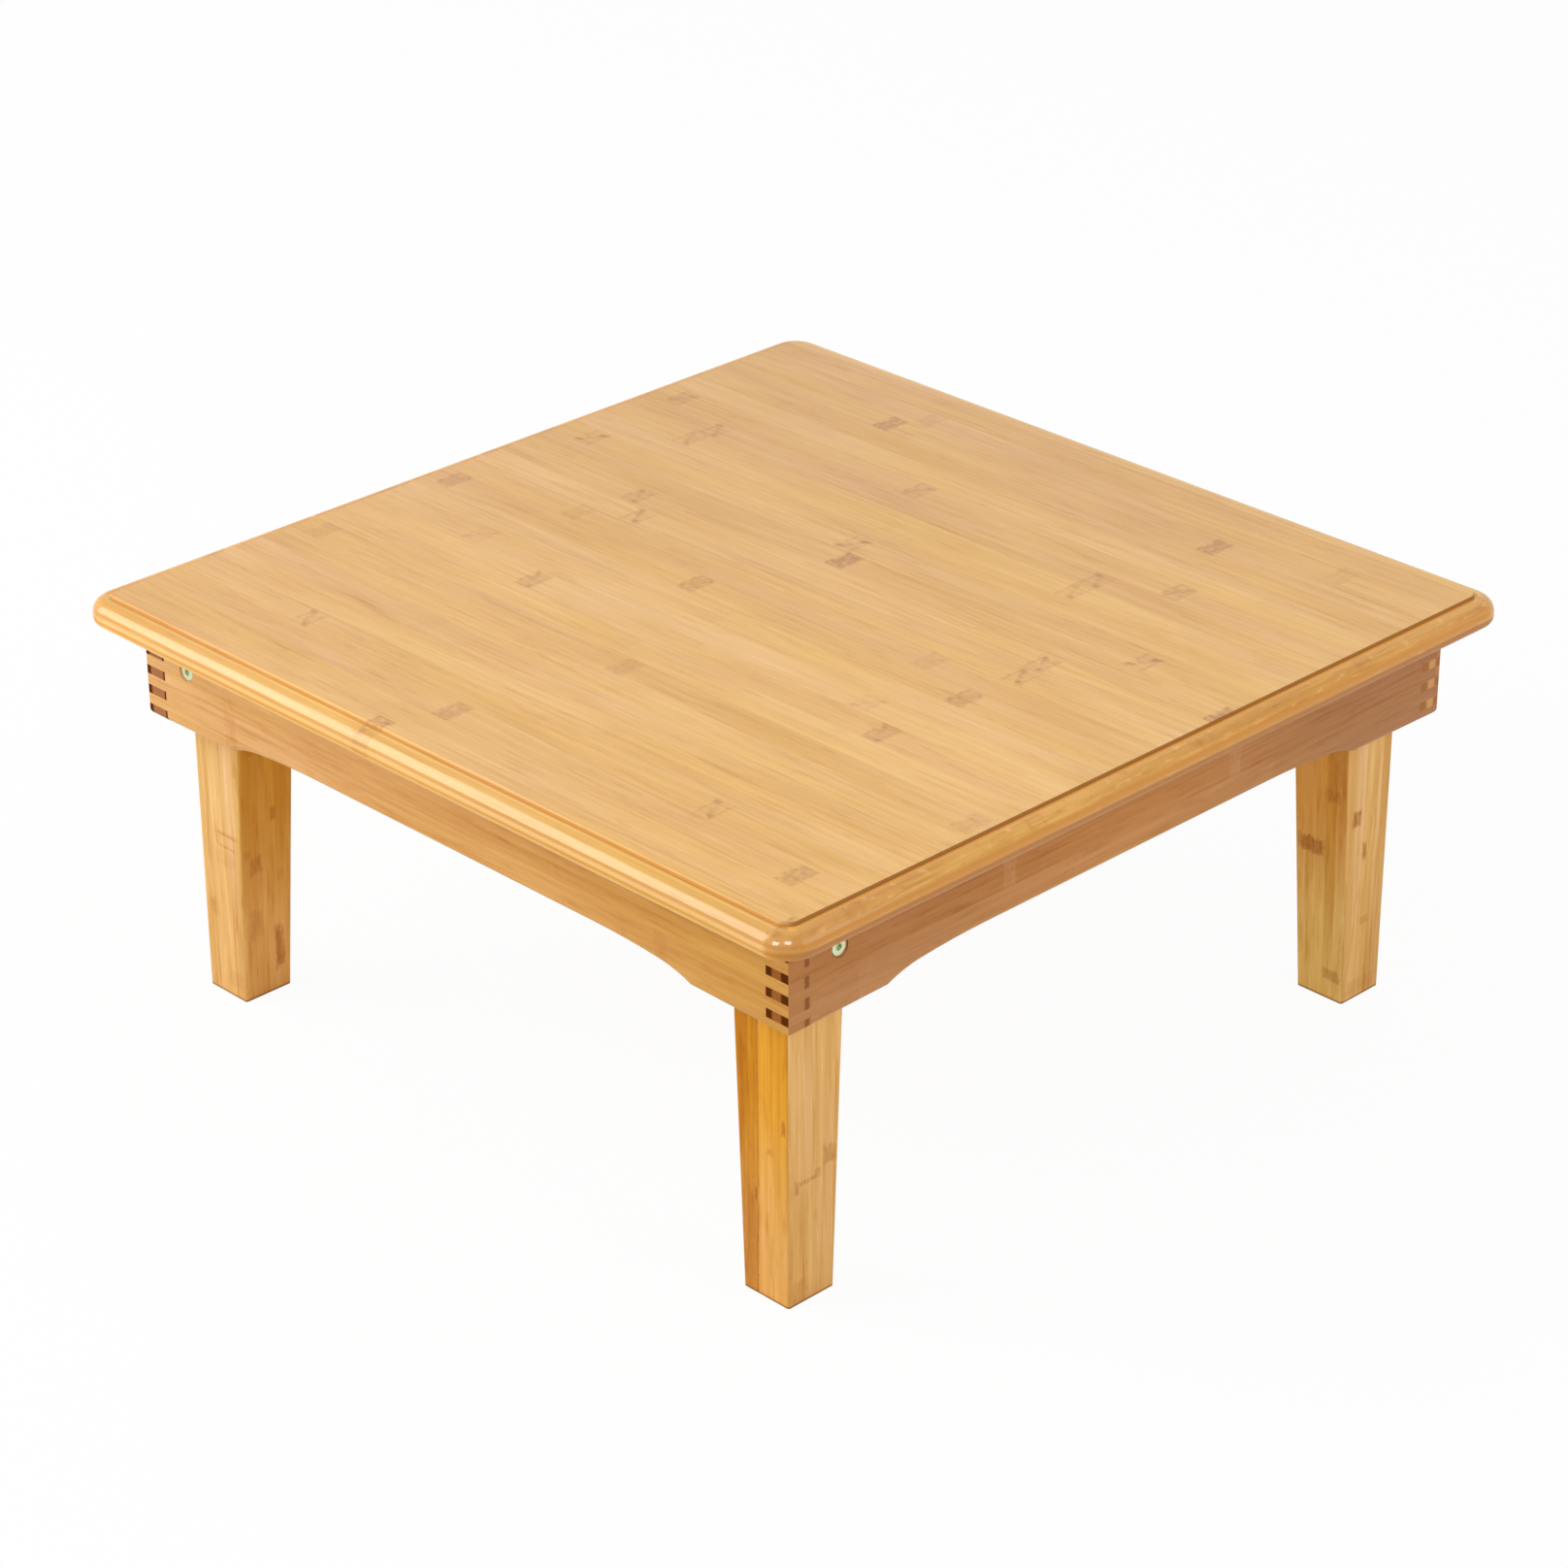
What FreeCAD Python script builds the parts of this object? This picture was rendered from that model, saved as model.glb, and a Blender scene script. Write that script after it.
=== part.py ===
import FreeCAD, Part
import math
import os

import Sketcher
from FreeCAD import Placement, Rotation, Vector

# A folding low table of laminated bamboo, in millimetres.
# +Z is up and the floor is z = 0, with the origin under the middle of the top.
# Every side is drawn once, as the front side (-Y), and turned by quarter turns for the others.

SIZES = {
    # the top
    "top_size": (600.0, "side of the square top"),
    "table_height": (266.0, "floor to top"),
    "top_thickness": (18.0, "whole thickness of the top"),
    "top_corner_radius": (20.0, "plan corner of the top"),
    "step_inset": (12.0, "top's edge to the raised field"),
    "step_height": (2.0, "height of the raised field"),
    "upper_round": (8.5, "round-over above"),
    "lower_round": (5.5, "round-over below"),
    "field_arris": (1.2, "eased arris of the raised field"),
    # the frame
    "overhang": (27.0, "top's edge to the frame's outer face"),
    "apron_thickness": (17.0, "apron board"),
    "apron_height": (61.6, "apron at its ends"),
    "apron_lower_round": (4.0, "round-over of the apron's lower outer edge"),
    "lobe_length": (76.0, "deep end of the apron, corner to arch"),
    "lobe_rise": (1.2, "rise of the deep end towards the arch"),
    "shoulder_length": (25.0, "steep part of the arch"),
    "easing_length": (52.0, "gentle part of the arch"),
    "arch_depth": (9.8, "lower edge at the ends to the middle"),
    "first_finger": (7.0, "height of the lowest finger at a board's right end"),
    "finger_gap": (5.6, "height of a gap between fingers at a board's right end"),
    "left_first_finger": (7.6, "height of the left board's lowest finger at its right end"),
    "left_finger_gap": (7.0, "height of a gap between the left board's fingers at its right end"),
    "finger_pitch": (12.9, "finger to finger"),
    # the legs
    "leg_top_width": (42.0, "leg at its top"),
    "leg_foot_width": (35.0, "leg at the floor"),
    "leg_square_length": (4.4, "leg's untapered length below the frame"),
    "leg_easing_radius": (400.0, "curve from the leg's straight part into its taper"),
    "leg_arris": (1.5, "rounded long edges of the leg"),
    "pivot_depth": (21.3, "underside of the top to the pivot"),
    "stop_gap": (0.3, "leg to the apron that it stops against"),
    # the pivots
    "bolt_radius": (3.0, "bolt shank"),
    "bolt_play": (0.05, "radial play of the bolt in its holes"),
    "head_radius": (5.0, "countersunk head"),
    "head_land": (0.4, "straight rim of the head"),
    "head_sink": (0.8, "head below the apron's face"),
    "head_play": (0.25, "radial play round the head"),
    "sink_widening": (0.75, "countersink beyond the play, at the apron's face"),
    "socket_width": (4.0, "hexagon socket across flats"),
    "socket_depth": (2.4, "hexagon socket"),
    "bolt_tip": (0.7, "chamfer at the bolt's end"),
    "bolt_protrusion": (2.5, "bolt past its nut"),
    "friction_washer_radius": (9.0, "plastic washer between apron and leg"),
    "friction_washer_thickness": (1.0, "plastic washer"),
    "nut_washer_radius": (7.5, "steel washer under the nut"),
    "nut_washer_thickness": (1.0, "steel washer"),
    "face_gap": (0.1, "gap between faces that turn on each other"),
    "nut_width": (10.0, "nut across flats"),
    "nut_height": (6.0, "nut with its locking collar"),
    "nut_collar_height": (1.2, "locking collar"),
    "nut_collar_radius": (4.4, "locking collar"),
    "counterbore_radius": (8.5, "recess for the nut in the leg"),
    "counterbore_depth": (9.0, "recess for the nut in the leg"),
    # the cleats under the top
    "cleat_width": (20.0, "cleat's square section"),
    "cleat_end_gap": (25.0, "cleat's ends to the legs, folded or standing"),
    "cleat_arris": (1.0, "chamfered long edge of the cleat"),
    "top_screw_inset": (22.0, "cleat's end to the screw into the top"),
    "side_screw_inset": (42.0, "cleat's end to the screw into the apron"),
    "screw_length": (30.0, "wood screw"),
    "screw_radius": (2.0, "wood screw"),
    "screw_head_radius": (4.0, "wood screw's countersunk head"),
    "screw_tip": (4.0, "wood screw's point"),
    "screw_recess_radius": (1.4, "wood screw's driving recess"),
    "screw_recess_depth": (1.5, "wood screw's driving recess"),
    "screw_play": (0.1, "play round a wood screw"),
    # all cuts
    "overrun": (1.0, "how far a cut runs past the face it opens"),
}

SIDES = ("front", "right", "back", "left")
LEG_CORNERS = ("front_left", "front_right", "back_right", "back_left")
QUARTER = 90.0
FULL_TURN = 360.0
SHEET_NAME = "Sizes"


class Length:
    """A length as a number, and as a formula in the sheet's names."""

    def __init__(self, number, formula):
        self.number = number
        self.formula = formula

    def __add__(self, other):
        return Length(self.number + other.number, "(%s + %s)" % (self.formula, other.formula))

    def __sub__(self, other):
        return Length(self.number - other.number, "(%s - %s)" % (self.formula, other.formula))

    def __neg__(self):
        return Length(-self.number, "(-1 * %s)" % self.formula)

    def __mul__(self, factor):
        return Length(self.number * factor, "(%s * %s)" % (self.formula, factor))

    def __truediv__(self, factor):
        return Length(self.number / factor, "(%s / %s)" % (self.formula, factor))


def size(alias):
    return Length(SIZES[alias][0], "%s.%s" % (SHEET_NAME, alias))


ZERO = Length(0.0, "0")
OVERRUN = size("overrun")

# heights
UNDERSIDE = size("table_height") - size("top_thickness")
SHELF = size("table_height") - size("step_height")
FRAME_BOTTOM = UNDERSIDE - size("apron_height")
PIVOT_HEIGHT = UNDERSIDE - size("pivot_depth")
TAPER_START = FRAME_BOTTOM - size("leg_square_length")

# the front side's lines across, seen from outside, and its planes front to back
TOP_HALF = size("top_size") / 2
FRAME_HALF = TOP_HALF - size("overhang")
APRON_FRONT = -FRAME_HALF
APRON_BACK = APRON_FRONT + size("apron_thickness")
STOP_FACE = APRON_BACK + size("stop_gap")
PIVOT_LINE = STOP_FACE + size("leg_top_width") / 2
LEG_FRONT = APRON_BACK + size("friction_washer_thickness") + size("face_gap") * 2
LEG_BACK = LEG_FRONT + size("leg_top_width")
LEG_BACK_AT_FLOOR = LEG_FRONT + size("leg_foot_width")
NUT_SEAT = LEG_BACK - size("counterbore_depth")
NUT_START = NUT_SEAT + size("face_gap") + size("nut_washer_thickness")
NUT_END = NUT_START + size("nut_height")
HEAD_TOP = APRON_FRONT + size("head_sink")
HEAD_CONE = size("head_radius") - size("bolt_radius")

# the joint at each board's right end: the sheet's names for its lowest finger and its gaps
JOINTS = {side: ("first_finger", "finger_gap") for side in SIDES}
JOINTS["left"] = ("left_first_finger", "left_finger_gap")

# the cleat lies between the folded leg's foot and the next leg
FOLDED_FOOT = PIVOT_LINE + PIVOT_HEIGHT
CLEAT_START = FOLDED_FOOT + size("cleat_end_gap")
CLEAT_END = -LEG_BACK - size("cleat_end_gap")
CLEAT_BACK = APRON_BACK + size("cleat_width")
CLEAT_BOTTOM = UNDERSIDE - size("cleat_width")
SCREW_CONE = size("screw_head_radius") - size("screw_radius")

# the arch's knee lies this share of the way up from the deep end to the middle
KNEE_RISE_SHARE = 0.72
LOBE_TOP = FRAME_BOTTOM + size("lobe_rise")
ARCH_TOP = FRAME_BOTTOM + size("arch_depth")
KNEE_HEIGHT = LOBE_TOP + (ARCH_TOP - LOBE_TOP) * KNEE_RISE_SHARE


def fill_sheet(doc):
    """The driving dimensions: column A says what each is, column B holds it."""
    sheet = doc.addObject("Spreadsheet::Sheet", SHEET_NAME)
    for row, (alias, (value, meaning)) in enumerate(SIZES.items(), start=1):
        sheet.set("A%d" % row, meaning)
        sheet.set("B%d" % row, str(value))
        sheet.setAlias("B%d" % row, alias)
    doc.recompute()
    return sheet


def new_body(doc, label, quarter_turns=0):
    body = doc.addObject("PartDesign::Body", label)
    body.Label = label
    body.Placement = Placement(Vector(), Rotation(Vector(0, 0, 1), QUARTER * quarter_turns))
    return body


def origin_feature(body, role):
    return next(f for f in body.Origin.OriginFeatures if f.Role == role)


def new_sketch(body, plane, shift=(ZERO, ZERO, ZERO)):
    """A sketch on one of the body's origin planes, shifted along the plane's own axes."""
    sketch = body.newObject("Sketcher::SketchObject", "%s_sketch" % body.Label)
    sketch.AttachmentSupport = [(origin_feature(body, plane), "")]
    sketch.MapMode = "FlatFace"
    for axis, length in zip("xyz", shift):
        sketch.setExpression(".AttachmentOffset.Base.%s" % axis, length.formula)
    return sketch


def bind(sketch, constraint, name, formula):
    index = sketch.addConstraint(constraint)
    sketch.renameConstraint(index, name)
    sketch.setExpression("Constraints.%s" % name, formula)


def fix_point(sketch, piece, end, name, across, up):
    """Hold one end of a line or arc at a place counted from the sketch's origin."""
    for kind, length, axis in (("DistanceX", across, "x"), ("DistanceY", up, "y")):
        if length is ZERO:
            upright = -2 if kind == "DistanceX" else -1
            sketch.addConstraint(Sketcher.Constraint("PointOnObject", piece, end, upright))
        else:
            rule = Sketcher.Constraint(kind, -1, 1, piece, end, length.number)
            bind(sketch, rule, "%s_%s" % (name, axis), length.formula)


def polygon(sketch, corners):
    """A closed outline of straight lines through the corners."""
    spots = [Vector(across.number, up.number, 0) for across, up in corners]
    count = len(spots)
    lines = []
    for i in range(count):
        lines.append(sketch.addGeometry(Part.LineSegment(spots[i], spots[(i + 1) % count])))
    for i in range(count):
        sketch.addConstraint(Sketcher.Constraint("Coincident", lines[i - 1], 2, lines[i], 1))
        fix_point(sketch, lines[i], 1, "corner%d" % i, *corners[i])
    return lines


def rectangle(sketch, left, right, low, high):
    return polygon(sketch, [(left, low), (right, low), (right, high), (left, high)])


def circle(sketch, radius, name="rim"):
    piece = sketch.addGeometry(Part.Circle(Vector(), Vector(0, 0, 1), radius.number))
    sketch.addConstraint(Sketcher.Constraint("Coincident", piece, 3, -1, 1))
    bind(sketch, Sketcher.Constraint("Radius", piece, radius.number), "%s_radius" % name, radius.formula)


def hexagon(sketch, across_flats):
    """A regular hexagon about the sketch's origin, with two flats upright."""
    half = across_flats / 2
    half_side = half * math.tan(math.radians(30))
    side = half_side * 2
    polygon(sketch, [(half, -half_side), (half, half_side), (ZERO, side),
                     (-half, half_side), (-half, -half_side), (ZERO, -side)])


def rounded_square(sketch, half, radius):
    """A square about the sketch's origin with round corners."""
    inner = half.number - radius.number
    lines = []
    arcs = []
    for i in range(4):
        turn = Rotation(Vector(0, 0, 1), QUARTER * i)
        start = turn.multVec(Vector(-inner, -half.number, 0))
        end = turn.multVec(Vector(inner, -half.number, 0))
        lines.append(sketch.addGeometry(Part.LineSegment(start, end)))
        centre = turn.multVec(Vector(inner, -inner, 0))
        rim = Part.Circle(centre, Vector(0, 0, 1), radius.number)
        first = math.radians(QUARTER * (i - 1))
        arcs.append(sketch.addGeometry(Part.ArcOfCircle(rim, first, first + math.radians(QUARTER))))
    for i in range(4):
        sketch.addConstraint(Sketcher.Constraint("Tangent", lines[i], 2, arcs[i], 1))
        sketch.addConstraint(Sketcher.Constraint("Tangent", arcs[i], 2, lines[(i + 1) % 4], 1))
    bind(sketch, Sketcher.Constraint("Radius", arcs[0], radius.number), "corner_radius", radius.formula)
    for i in range(1, 4):
        sketch.addConstraint(Sketcher.Constraint("Equal", arcs[0], arcs[i]))
    # one point of each line holds the square in place and level
    for i, kind, side in ((0, "DistanceY", -half), (1, "DistanceX", half),
                          (2, "DistanceY", half), (3, "DistanceX", -half)):
        rule = Sketcher.Constraint(kind, -1, 1, lines[i], 1, side.number)
        bind(sketch, rule, "side%d" % i, side.formula)
    for i, kind in ((0, "Horizontal"), (1, "Vertical"), (2, "Horizontal"), (3, "Vertical")):
        sketch.addConstraint(Sketcher.Constraint(kind, lines[i]))


def arc_between(start, end, leaving):
    """The arc from start to end that leaves start along the direction given."""
    chord = end - start
    normal = Vector(-leaving.y, leaving.x, 0)
    centre = start + normal * (chord.dot(chord) / (2 * chord.dot(normal)))
    # the whole arc sweeps twice the angle from the leaving direction to the chord
    half_sweep = math.atan2(chord.dot(normal), chord.dot(leaving))
    middle = centre + Rotation(Vector(0, 0, 1), math.degrees(half_sweep)).multVec(start - centre)
    return Part.Arc(start, middle, end)


def arc_ends(sketch, piece, start):
    """Which ends of a stored arc are its start and its end."""
    if sketch.getPoint(piece, 1).distanceToPoint(start) < sketch.getPoint(piece, 2).distanceToPoint(start):
        return 1, 2
    return 2, 1


def set_both_ways(feature):
    """Cut or add to both sides of the sketch, as far as the body goes."""
    feature.SideType = "Symmetric"
    feature.Type = "ThroughAll"


def pad(body, sketch, length, reverse=False):
    feature = body.newObject("PartDesign::Pad", "%s_pad" % body.Label)
    feature.Profile = sketch
    feature.setExpression("Length", length.formula)
    feature.Reversed = reverse
    body.Document.recompute()
    return feature


def pocket_through(body, sketch):
    feature = body.newObject("PartDesign::Pocket", "%s_cut" % body.Label)
    feature.Profile = sketch
    set_both_ways(feature)
    body.Document.recompute()
    return feature


def pocket_blind(body, sketch, depth, reverse=False):
    feature = body.newObject("PartDesign::Pocket", "%s_recess" % body.Label)
    feature.Profile = sketch
    feature.setExpression("Length", depth.formula)
    feature.Reversed = reverse
    body.Document.recompute()
    return feature


def turn(body, sketch, kind):
    """A full turn of the sketch about its own upright axis: Revolution adds, Groove cuts."""
    feature = body.newObject("PartDesign::%s" % kind, "%s_turned" % body.Label)
    feature.Profile = sketch
    feature.ReferenceAxis = (sketch, ["V_Axis"])
    feature.Angle = FULL_TURN
    body.Document.recompute()
    return feature


def round_edges(body, base, radius, wanted):
    """Fillet those edges of the base feature that the wanted test picks."""
    names = ["Edge%d" % (i + 1) for i, edge in enumerate(base.Shape.Edges) if wanted(edge)]
    feature = body.newObject("PartDesign::Fillet", "%s_round" % body.Label)
    feature.Base = (base, names)
    feature.setExpression("Radius", radius.formula)
    body.Document.recompute()
    return feature


def bevel_edges(body, base, width, wanted):
    names = ["Edge%d" % (i + 1) for i, edge in enumerate(base.Shape.Edges) if wanted(edge)]
    feature = body.newObject("PartDesign::Chamfer", "%s_bevel" % body.Label)
    feature.Base = (base, names)
    feature.setExpression("Size", width.formula)
    body.Document.recompute()
    return feature


def repeat_upwards(body, features, spacing, count):
    pattern = body.newObject("PartDesign::LinearPattern", "%s_rows" % body.Label)
    pattern.Originals = features
    pattern.Direction = (origin_feature(body, "Z_Axis"), [""])
    pattern.Mode = "Spacing"
    pattern.setExpression("Offset", spacing.formula)
    pattern.Occurrences = count
    body.Tip = pattern
    body.Document.recompute()
    return pattern


def repeat_on_sides(body, features):
    """The same features on all four sides of the table."""
    pattern = body.newObject("PartDesign::PolarPattern", "%s_sides" % body.Label)
    pattern.Originals = features
    pattern.Axis = (origin_feature(body, "Z_Axis"), [""])
    pattern.Angle = FULL_TURN
    pattern.Occurrences = len(SIDES)
    body.Tip = pattern
    body.Document.recompute()
    return pattern


def close_to(value, length):
    return abs(value - length.number) < 1e-6


def lies_at_height(edge, height):
    return all(close_to(vertex.Z, height) for vertex in edge.Vertexes)


def lies_in_plane(edge, across):
    return all(close_to(vertex.Y, across) for vertex in edge.Vertexes)


def is_upright(edge):
    heights = [vertex.Z for vertex in edge.Vertexes]
    return max(heights) - min(heights) > size("apron_height").number / 2


def top_screw_places():
    """Where the screws stand that go up through the front cleat, from left to right."""
    inset = size("top_screw_inset")
    return [CLEAT_START + inset, CLEAT_END - inset]


def side_screw_places():
    """Where the screws lie that go through the front cleat into the apron."""
    inset = size("side_screw_inset")
    return [CLEAT_START + inset, CLEAT_END - inset]


def sketch_upright_axis(body, across):
    """A sketch whose upright axis is that of a screw into the top."""
    back = -(APRON_BACK + size("cleat_width") / 2)
    return new_sketch(body, "XZ_Plane", (across, ZERO, back))


def sketch_level_axis(body, across, height):
    """A sketch whose upright axis runs level, front to back."""
    return new_sketch(body, "XY_Plane", (across, ZERO, height))


def screw_outline(sketch, head, sense):
    """Half of a countersunk wood screw: head is its flat end, sense the way it points."""
    rim = size("screw_head_radius")
    shank = size("screw_radius")
    recess = size("screw_recess_radius")
    neck = head + SCREW_CONE * sense
    tip = head + size("screw_length") * sense
    shoulder = tip - size("screw_tip") * sense
    floor = head + size("screw_recess_depth") * sense
    polygon(sketch, [(ZERO, floor), (recess, floor), (recess, head), (rim, head), (shank, neck),
                     (shank, shoulder), (ZERO, tip)])


def screw_hole_outline(sketch, head, sense):
    """Half of the countersunk hole for a wood screw, open at the head's side."""
    play = size("screw_play")
    rim = size("screw_head_radius") + play
    shank = size("screw_radius") + play
    mouth = head - OVERRUN * sense
    neck = head + SCREW_CONE * sense
    end = head + (size("screw_length") + play) * sense
    polygon(sketch, [(ZERO, mouth), (rim, mouth), (rim, head), (shank, neck), (shank, end), (ZERO, end)])


def make_tabletop(doc):
    """A square slab with rounded edges, a raised field on it, and blind holes for the cleats' screws."""
    body = new_body(doc, "tabletop")
    plan = new_sketch(body, "XY_Plane", (ZERO, ZERO, UNDERSIDE))
    rounded_square(plan, TOP_HALF, size("top_corner_radius"))
    slab = pad(body, plan, size("top_thickness") - size("step_height"))
    lower = round_edges(body, slab, size("lower_round"), lambda edge: lies_at_height(edge, UNDERSIDE))
    upper = round_edges(body, lower, size("upper_round"), lambda edge: lies_at_height(edge, SHELF))
    field_plan = new_sketch(body, "XY_Plane", (ZERO, ZERO, SHELF))
    inset = size("step_inset")
    rounded_square(field_plan, TOP_HALF - inset, size("top_corner_radius") - inset)
    field = pad(body, field_plan, size("step_height"))
    top = size("table_height")
    round_edges(body, field, size("field_arris"), lambda edge: lies_at_height(edge, top))
    holes = []
    for across in top_screw_places():
        sketch = sketch_upright_axis(body, across)
        screw_hole_outline(sketch, CLEAT_BOTTOM, 1)
        holes.append(turn(body, sketch, "Groove"))
    repeat_on_sides(body, holes)
    return body, 1


def apron_outline(sketch):
    """The board seen from outside: deep ends, and a lower edge that arches up between them."""
    kink = FRAME_HALF - size("lobe_length")
    knee = kink - size("shoulder_length")
    crown = knee - size("easing_length")
    places = [(-FRAME_HALF, FRAME_BOTTOM), (-kink, LOBE_TOP), (-knee, KNEE_HEIGHT), (-crown, ARCH_TOP),
              (crown, ARCH_TOP), (knee, KNEE_HEIGHT), (kink, LOBE_TOP), (FRAME_HALF, FRAME_BOTTOM),
              (FRAME_HALF, UNDERSIDE), (-FRAME_HALF, UNDERSIDE)]
    spots = [Vector(across.number, up.number, 0) for across, up in places]
    level = Vector(1, 0, 0)
    # the easings leave the straight middle level, and the shoulders carry on from them
    right_easing = arc_between(spots[4], spots[5], level)
    left_easing = arc_between(spots[3], spots[2], -level)
    lean = 2 * math.atan2(spots[4].y - spots[5].y, spots[5].x - spots[4].x)
    right_shoulder = arc_between(spots[5], spots[6], Vector(math.cos(lean), -math.sin(lean), 0))
    left_shoulder = arc_between(spots[2], spots[1], Vector(-math.cos(lean), -math.sin(lean), 0))
    arcs = {1: (left_shoulder, spots[1]), 2: (left_easing, spots[2]),
            4: (right_easing, spots[4]), 5: (right_shoulder, spots[5])}
    pieces = []
    for i, spot in enumerate(spots):
        if i in arcs:
            piece = sketch.addGeometry(arcs[i][0])
            ends = arc_ends(sketch, piece, spot)
        else:
            piece = sketch.addGeometry(Part.LineSegment(spot, spots[(i + 1) % len(spots)]))
            ends = (1, 2)
        pieces.append((piece, ends))
    smooth = (2, 3, 4, 5)
    for i, (piece, ends) in enumerate(pieces):
        before, before_ends = pieces[i - 1]
        kind = "Tangent" if i in smooth else "Coincident"
        sketch.addConstraint(Sketcher.Constraint(kind, before, before_ends[1], piece, ends[0]))
        fix_point(sketch, piece, ends[0], "corner%d" % i, *places[i])


def finger_rows(first_finger):
    """How many gaps the right end has: its lowest finger, then a gap every pitch."""
    room = SIZES["apron_height"][0] - SIZES[first_finger][0]
    return max(1, int(room // SIZES["finger_pitch"][0]))


def cut_right_gaps(body, first_finger, finger_gap):
    """The gaps at the right end, which the next board's fingers fill."""
    low = FRAME_BOTTOM + size(first_finger)
    sketch = new_sketch(body, "XZ_Plane")
    left = FRAME_HALF - size("apron_thickness")
    rectangle(sketch, left, FRAME_HALF + OVERRUN, low, low + size(finger_gap))
    gap = pocket_through(body, sketch)
    repeat_upwards(body, [gap], size("finger_pitch"), finger_rows(first_finger))


def cut_left_gaps(body, first_finger, finger_gap):
    """The left end keeps only fingers as high as the gaps of the board before, and at the same heights."""
    rows = finger_rows(first_finger)
    pitch = size("finger_pitch")
    finger_low = FRAME_BOTTOM + size(first_finger)
    finger_high = finger_low + size(finger_gap)
    right = -FRAME_HALF + size("apron_thickness")
    left = -FRAME_HALF - OVERRUN
    for low, high in ((FRAME_BOTTOM - OVERRUN, finger_low),
                      (finger_high + pitch * (rows - 1), UNDERSIDE + OVERRUN)):
        sketch = new_sketch(body, "XZ_Plane")
        rectangle(sketch, left, right, low, high)
        pocket_through(body, sketch)
    sketch = new_sketch(body, "XZ_Plane")
    rectangle(sketch, left, right, finger_high, finger_low + pitch)
    gap = pocket_through(body, sketch)
    repeat_upwards(body, [gap], pitch, rows - 1)


def is_outer_lower(edge):
    """The outer face's lower edge, or the lower edge of the right end, where the lowest finger shows."""
    on_face = lies_in_plane(edge, APRON_FRONT) and not is_upright(edge) and not lies_at_height(edge, UNDERSIDE)
    on_end = lies_at_height(edge, FRAME_BOTTOM) and close_to(edge.CenterOfMass.x, FRAME_HALF)
    return on_face or on_end


def cut_pivot_hole(body):
    """The bolt's hole through the apron, countersunk on the outside and wider than the head there."""
    widening = size("sink_widening")
    mouth = size("head_radius") + size("head_play") + widening
    shank = size("bolt_radius") + size("bolt_play")
    cone_start = HEAD_TOP + size("head_land")
    cone_end = cone_start + HEAD_CONE
    sketch = sketch_level_axis(body, PIVOT_LINE, PIVOT_HEIGHT)
    outside = APRON_FRONT - OVERRUN
    inside = APRON_BACK + OVERRUN
    polygon(sketch, [(ZERO, outside), (mouth, outside), (mouth, cone_start - widening), (shank, cone_end),
                     (shank, inside), (ZERO, inside)])
    turn(body, sketch, "Groove")


def make_apron(doc, number, side):
    body = new_body(doc, "apron_%s" % side, number)
    outline = new_sketch(body, "XZ_Plane", (ZERO, ZERO, -APRON_FRONT))
    apron_outline(outline)
    board = pad(body, outline, size("apron_thickness"), reverse=True)
    round_edges(body, board, size("apron_lower_round"), is_outer_lower)
    cut_right_gaps(body, *JOINTS[side])
    cut_left_gaps(body, *JOINTS[SIDES[number - 1]])
    cut_pivot_hole(body)
    for across in side_screw_places():
        sketch = sketch_level_axis(body, across, UNDERSIDE - size("cleat_width") / 2)
        screw_hole_outline(sketch, CLEAT_BACK, -1)
        turn(body, sketch, "Groove")
    return body, 1


def taper(sketch, foot, top):
    """One tapered face: a line up from the floor, then an arc that ends upright at the top point."""
    radius = size("leg_easing_radius")
    start = Vector(foot.number, 0, 0)
    end = Vector(top.number, TAPER_START.number, 0)
    centre = end - Vector(radius.number, 0, 0)
    away = start - centre
    lean = math.atan2(-away.y, away.x) - math.acos(radius.number / away.Length)
    touch = centre + Vector(math.cos(lean), -math.sin(lean), 0) * radius.number
    line = sketch.addGeometry(Part.LineSegment(start, touch))
    arc = sketch.addGeometry(arc_between(touch, end, touch - start))
    ends = arc_ends(sketch, arc, touch)
    sketch.addConstraint(Sketcher.Constraint("Tangent", line, 2, arc, ends[0]))
    sketch.addConstraint(Sketcher.Constraint("Horizontal", arc, 3, arc, ends[1]))
    bind(sketch, Sketcher.Constraint("Radius", arc, radius.number), "easing_radius", radius.formula)
    fix_point(sketch, line, 1, "foot", foot, ZERO)
    fix_point(sketch, arc, ends[1], "taper_top", top, TAPER_START)
    return (line, 1), (arc, ends[1])


def open_polygon(sketch, corners, first, last):
    """Straight lines through the corners, from the first piece's end to the last one's."""
    spots = [Vector(across.number, up.number, 0) for across, up in corners]
    previous = first
    for i in range(len(spots) - 1):
        line = sketch.addGeometry(Part.LineSegment(spots[i], spots[i + 1]))
        sketch.addConstraint(Sketcher.Constraint("Coincident", previous[0], previous[1], line, 1))
        if i > 0:
            fix_point(sketch, line, 1, "corner%d" % i, *corners[i])
        previous = (line, 2)
    if last:
        sketch.addConstraint(Sketcher.Constraint("Coincident", previous[0], previous[1], *last))
    return previous


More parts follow.
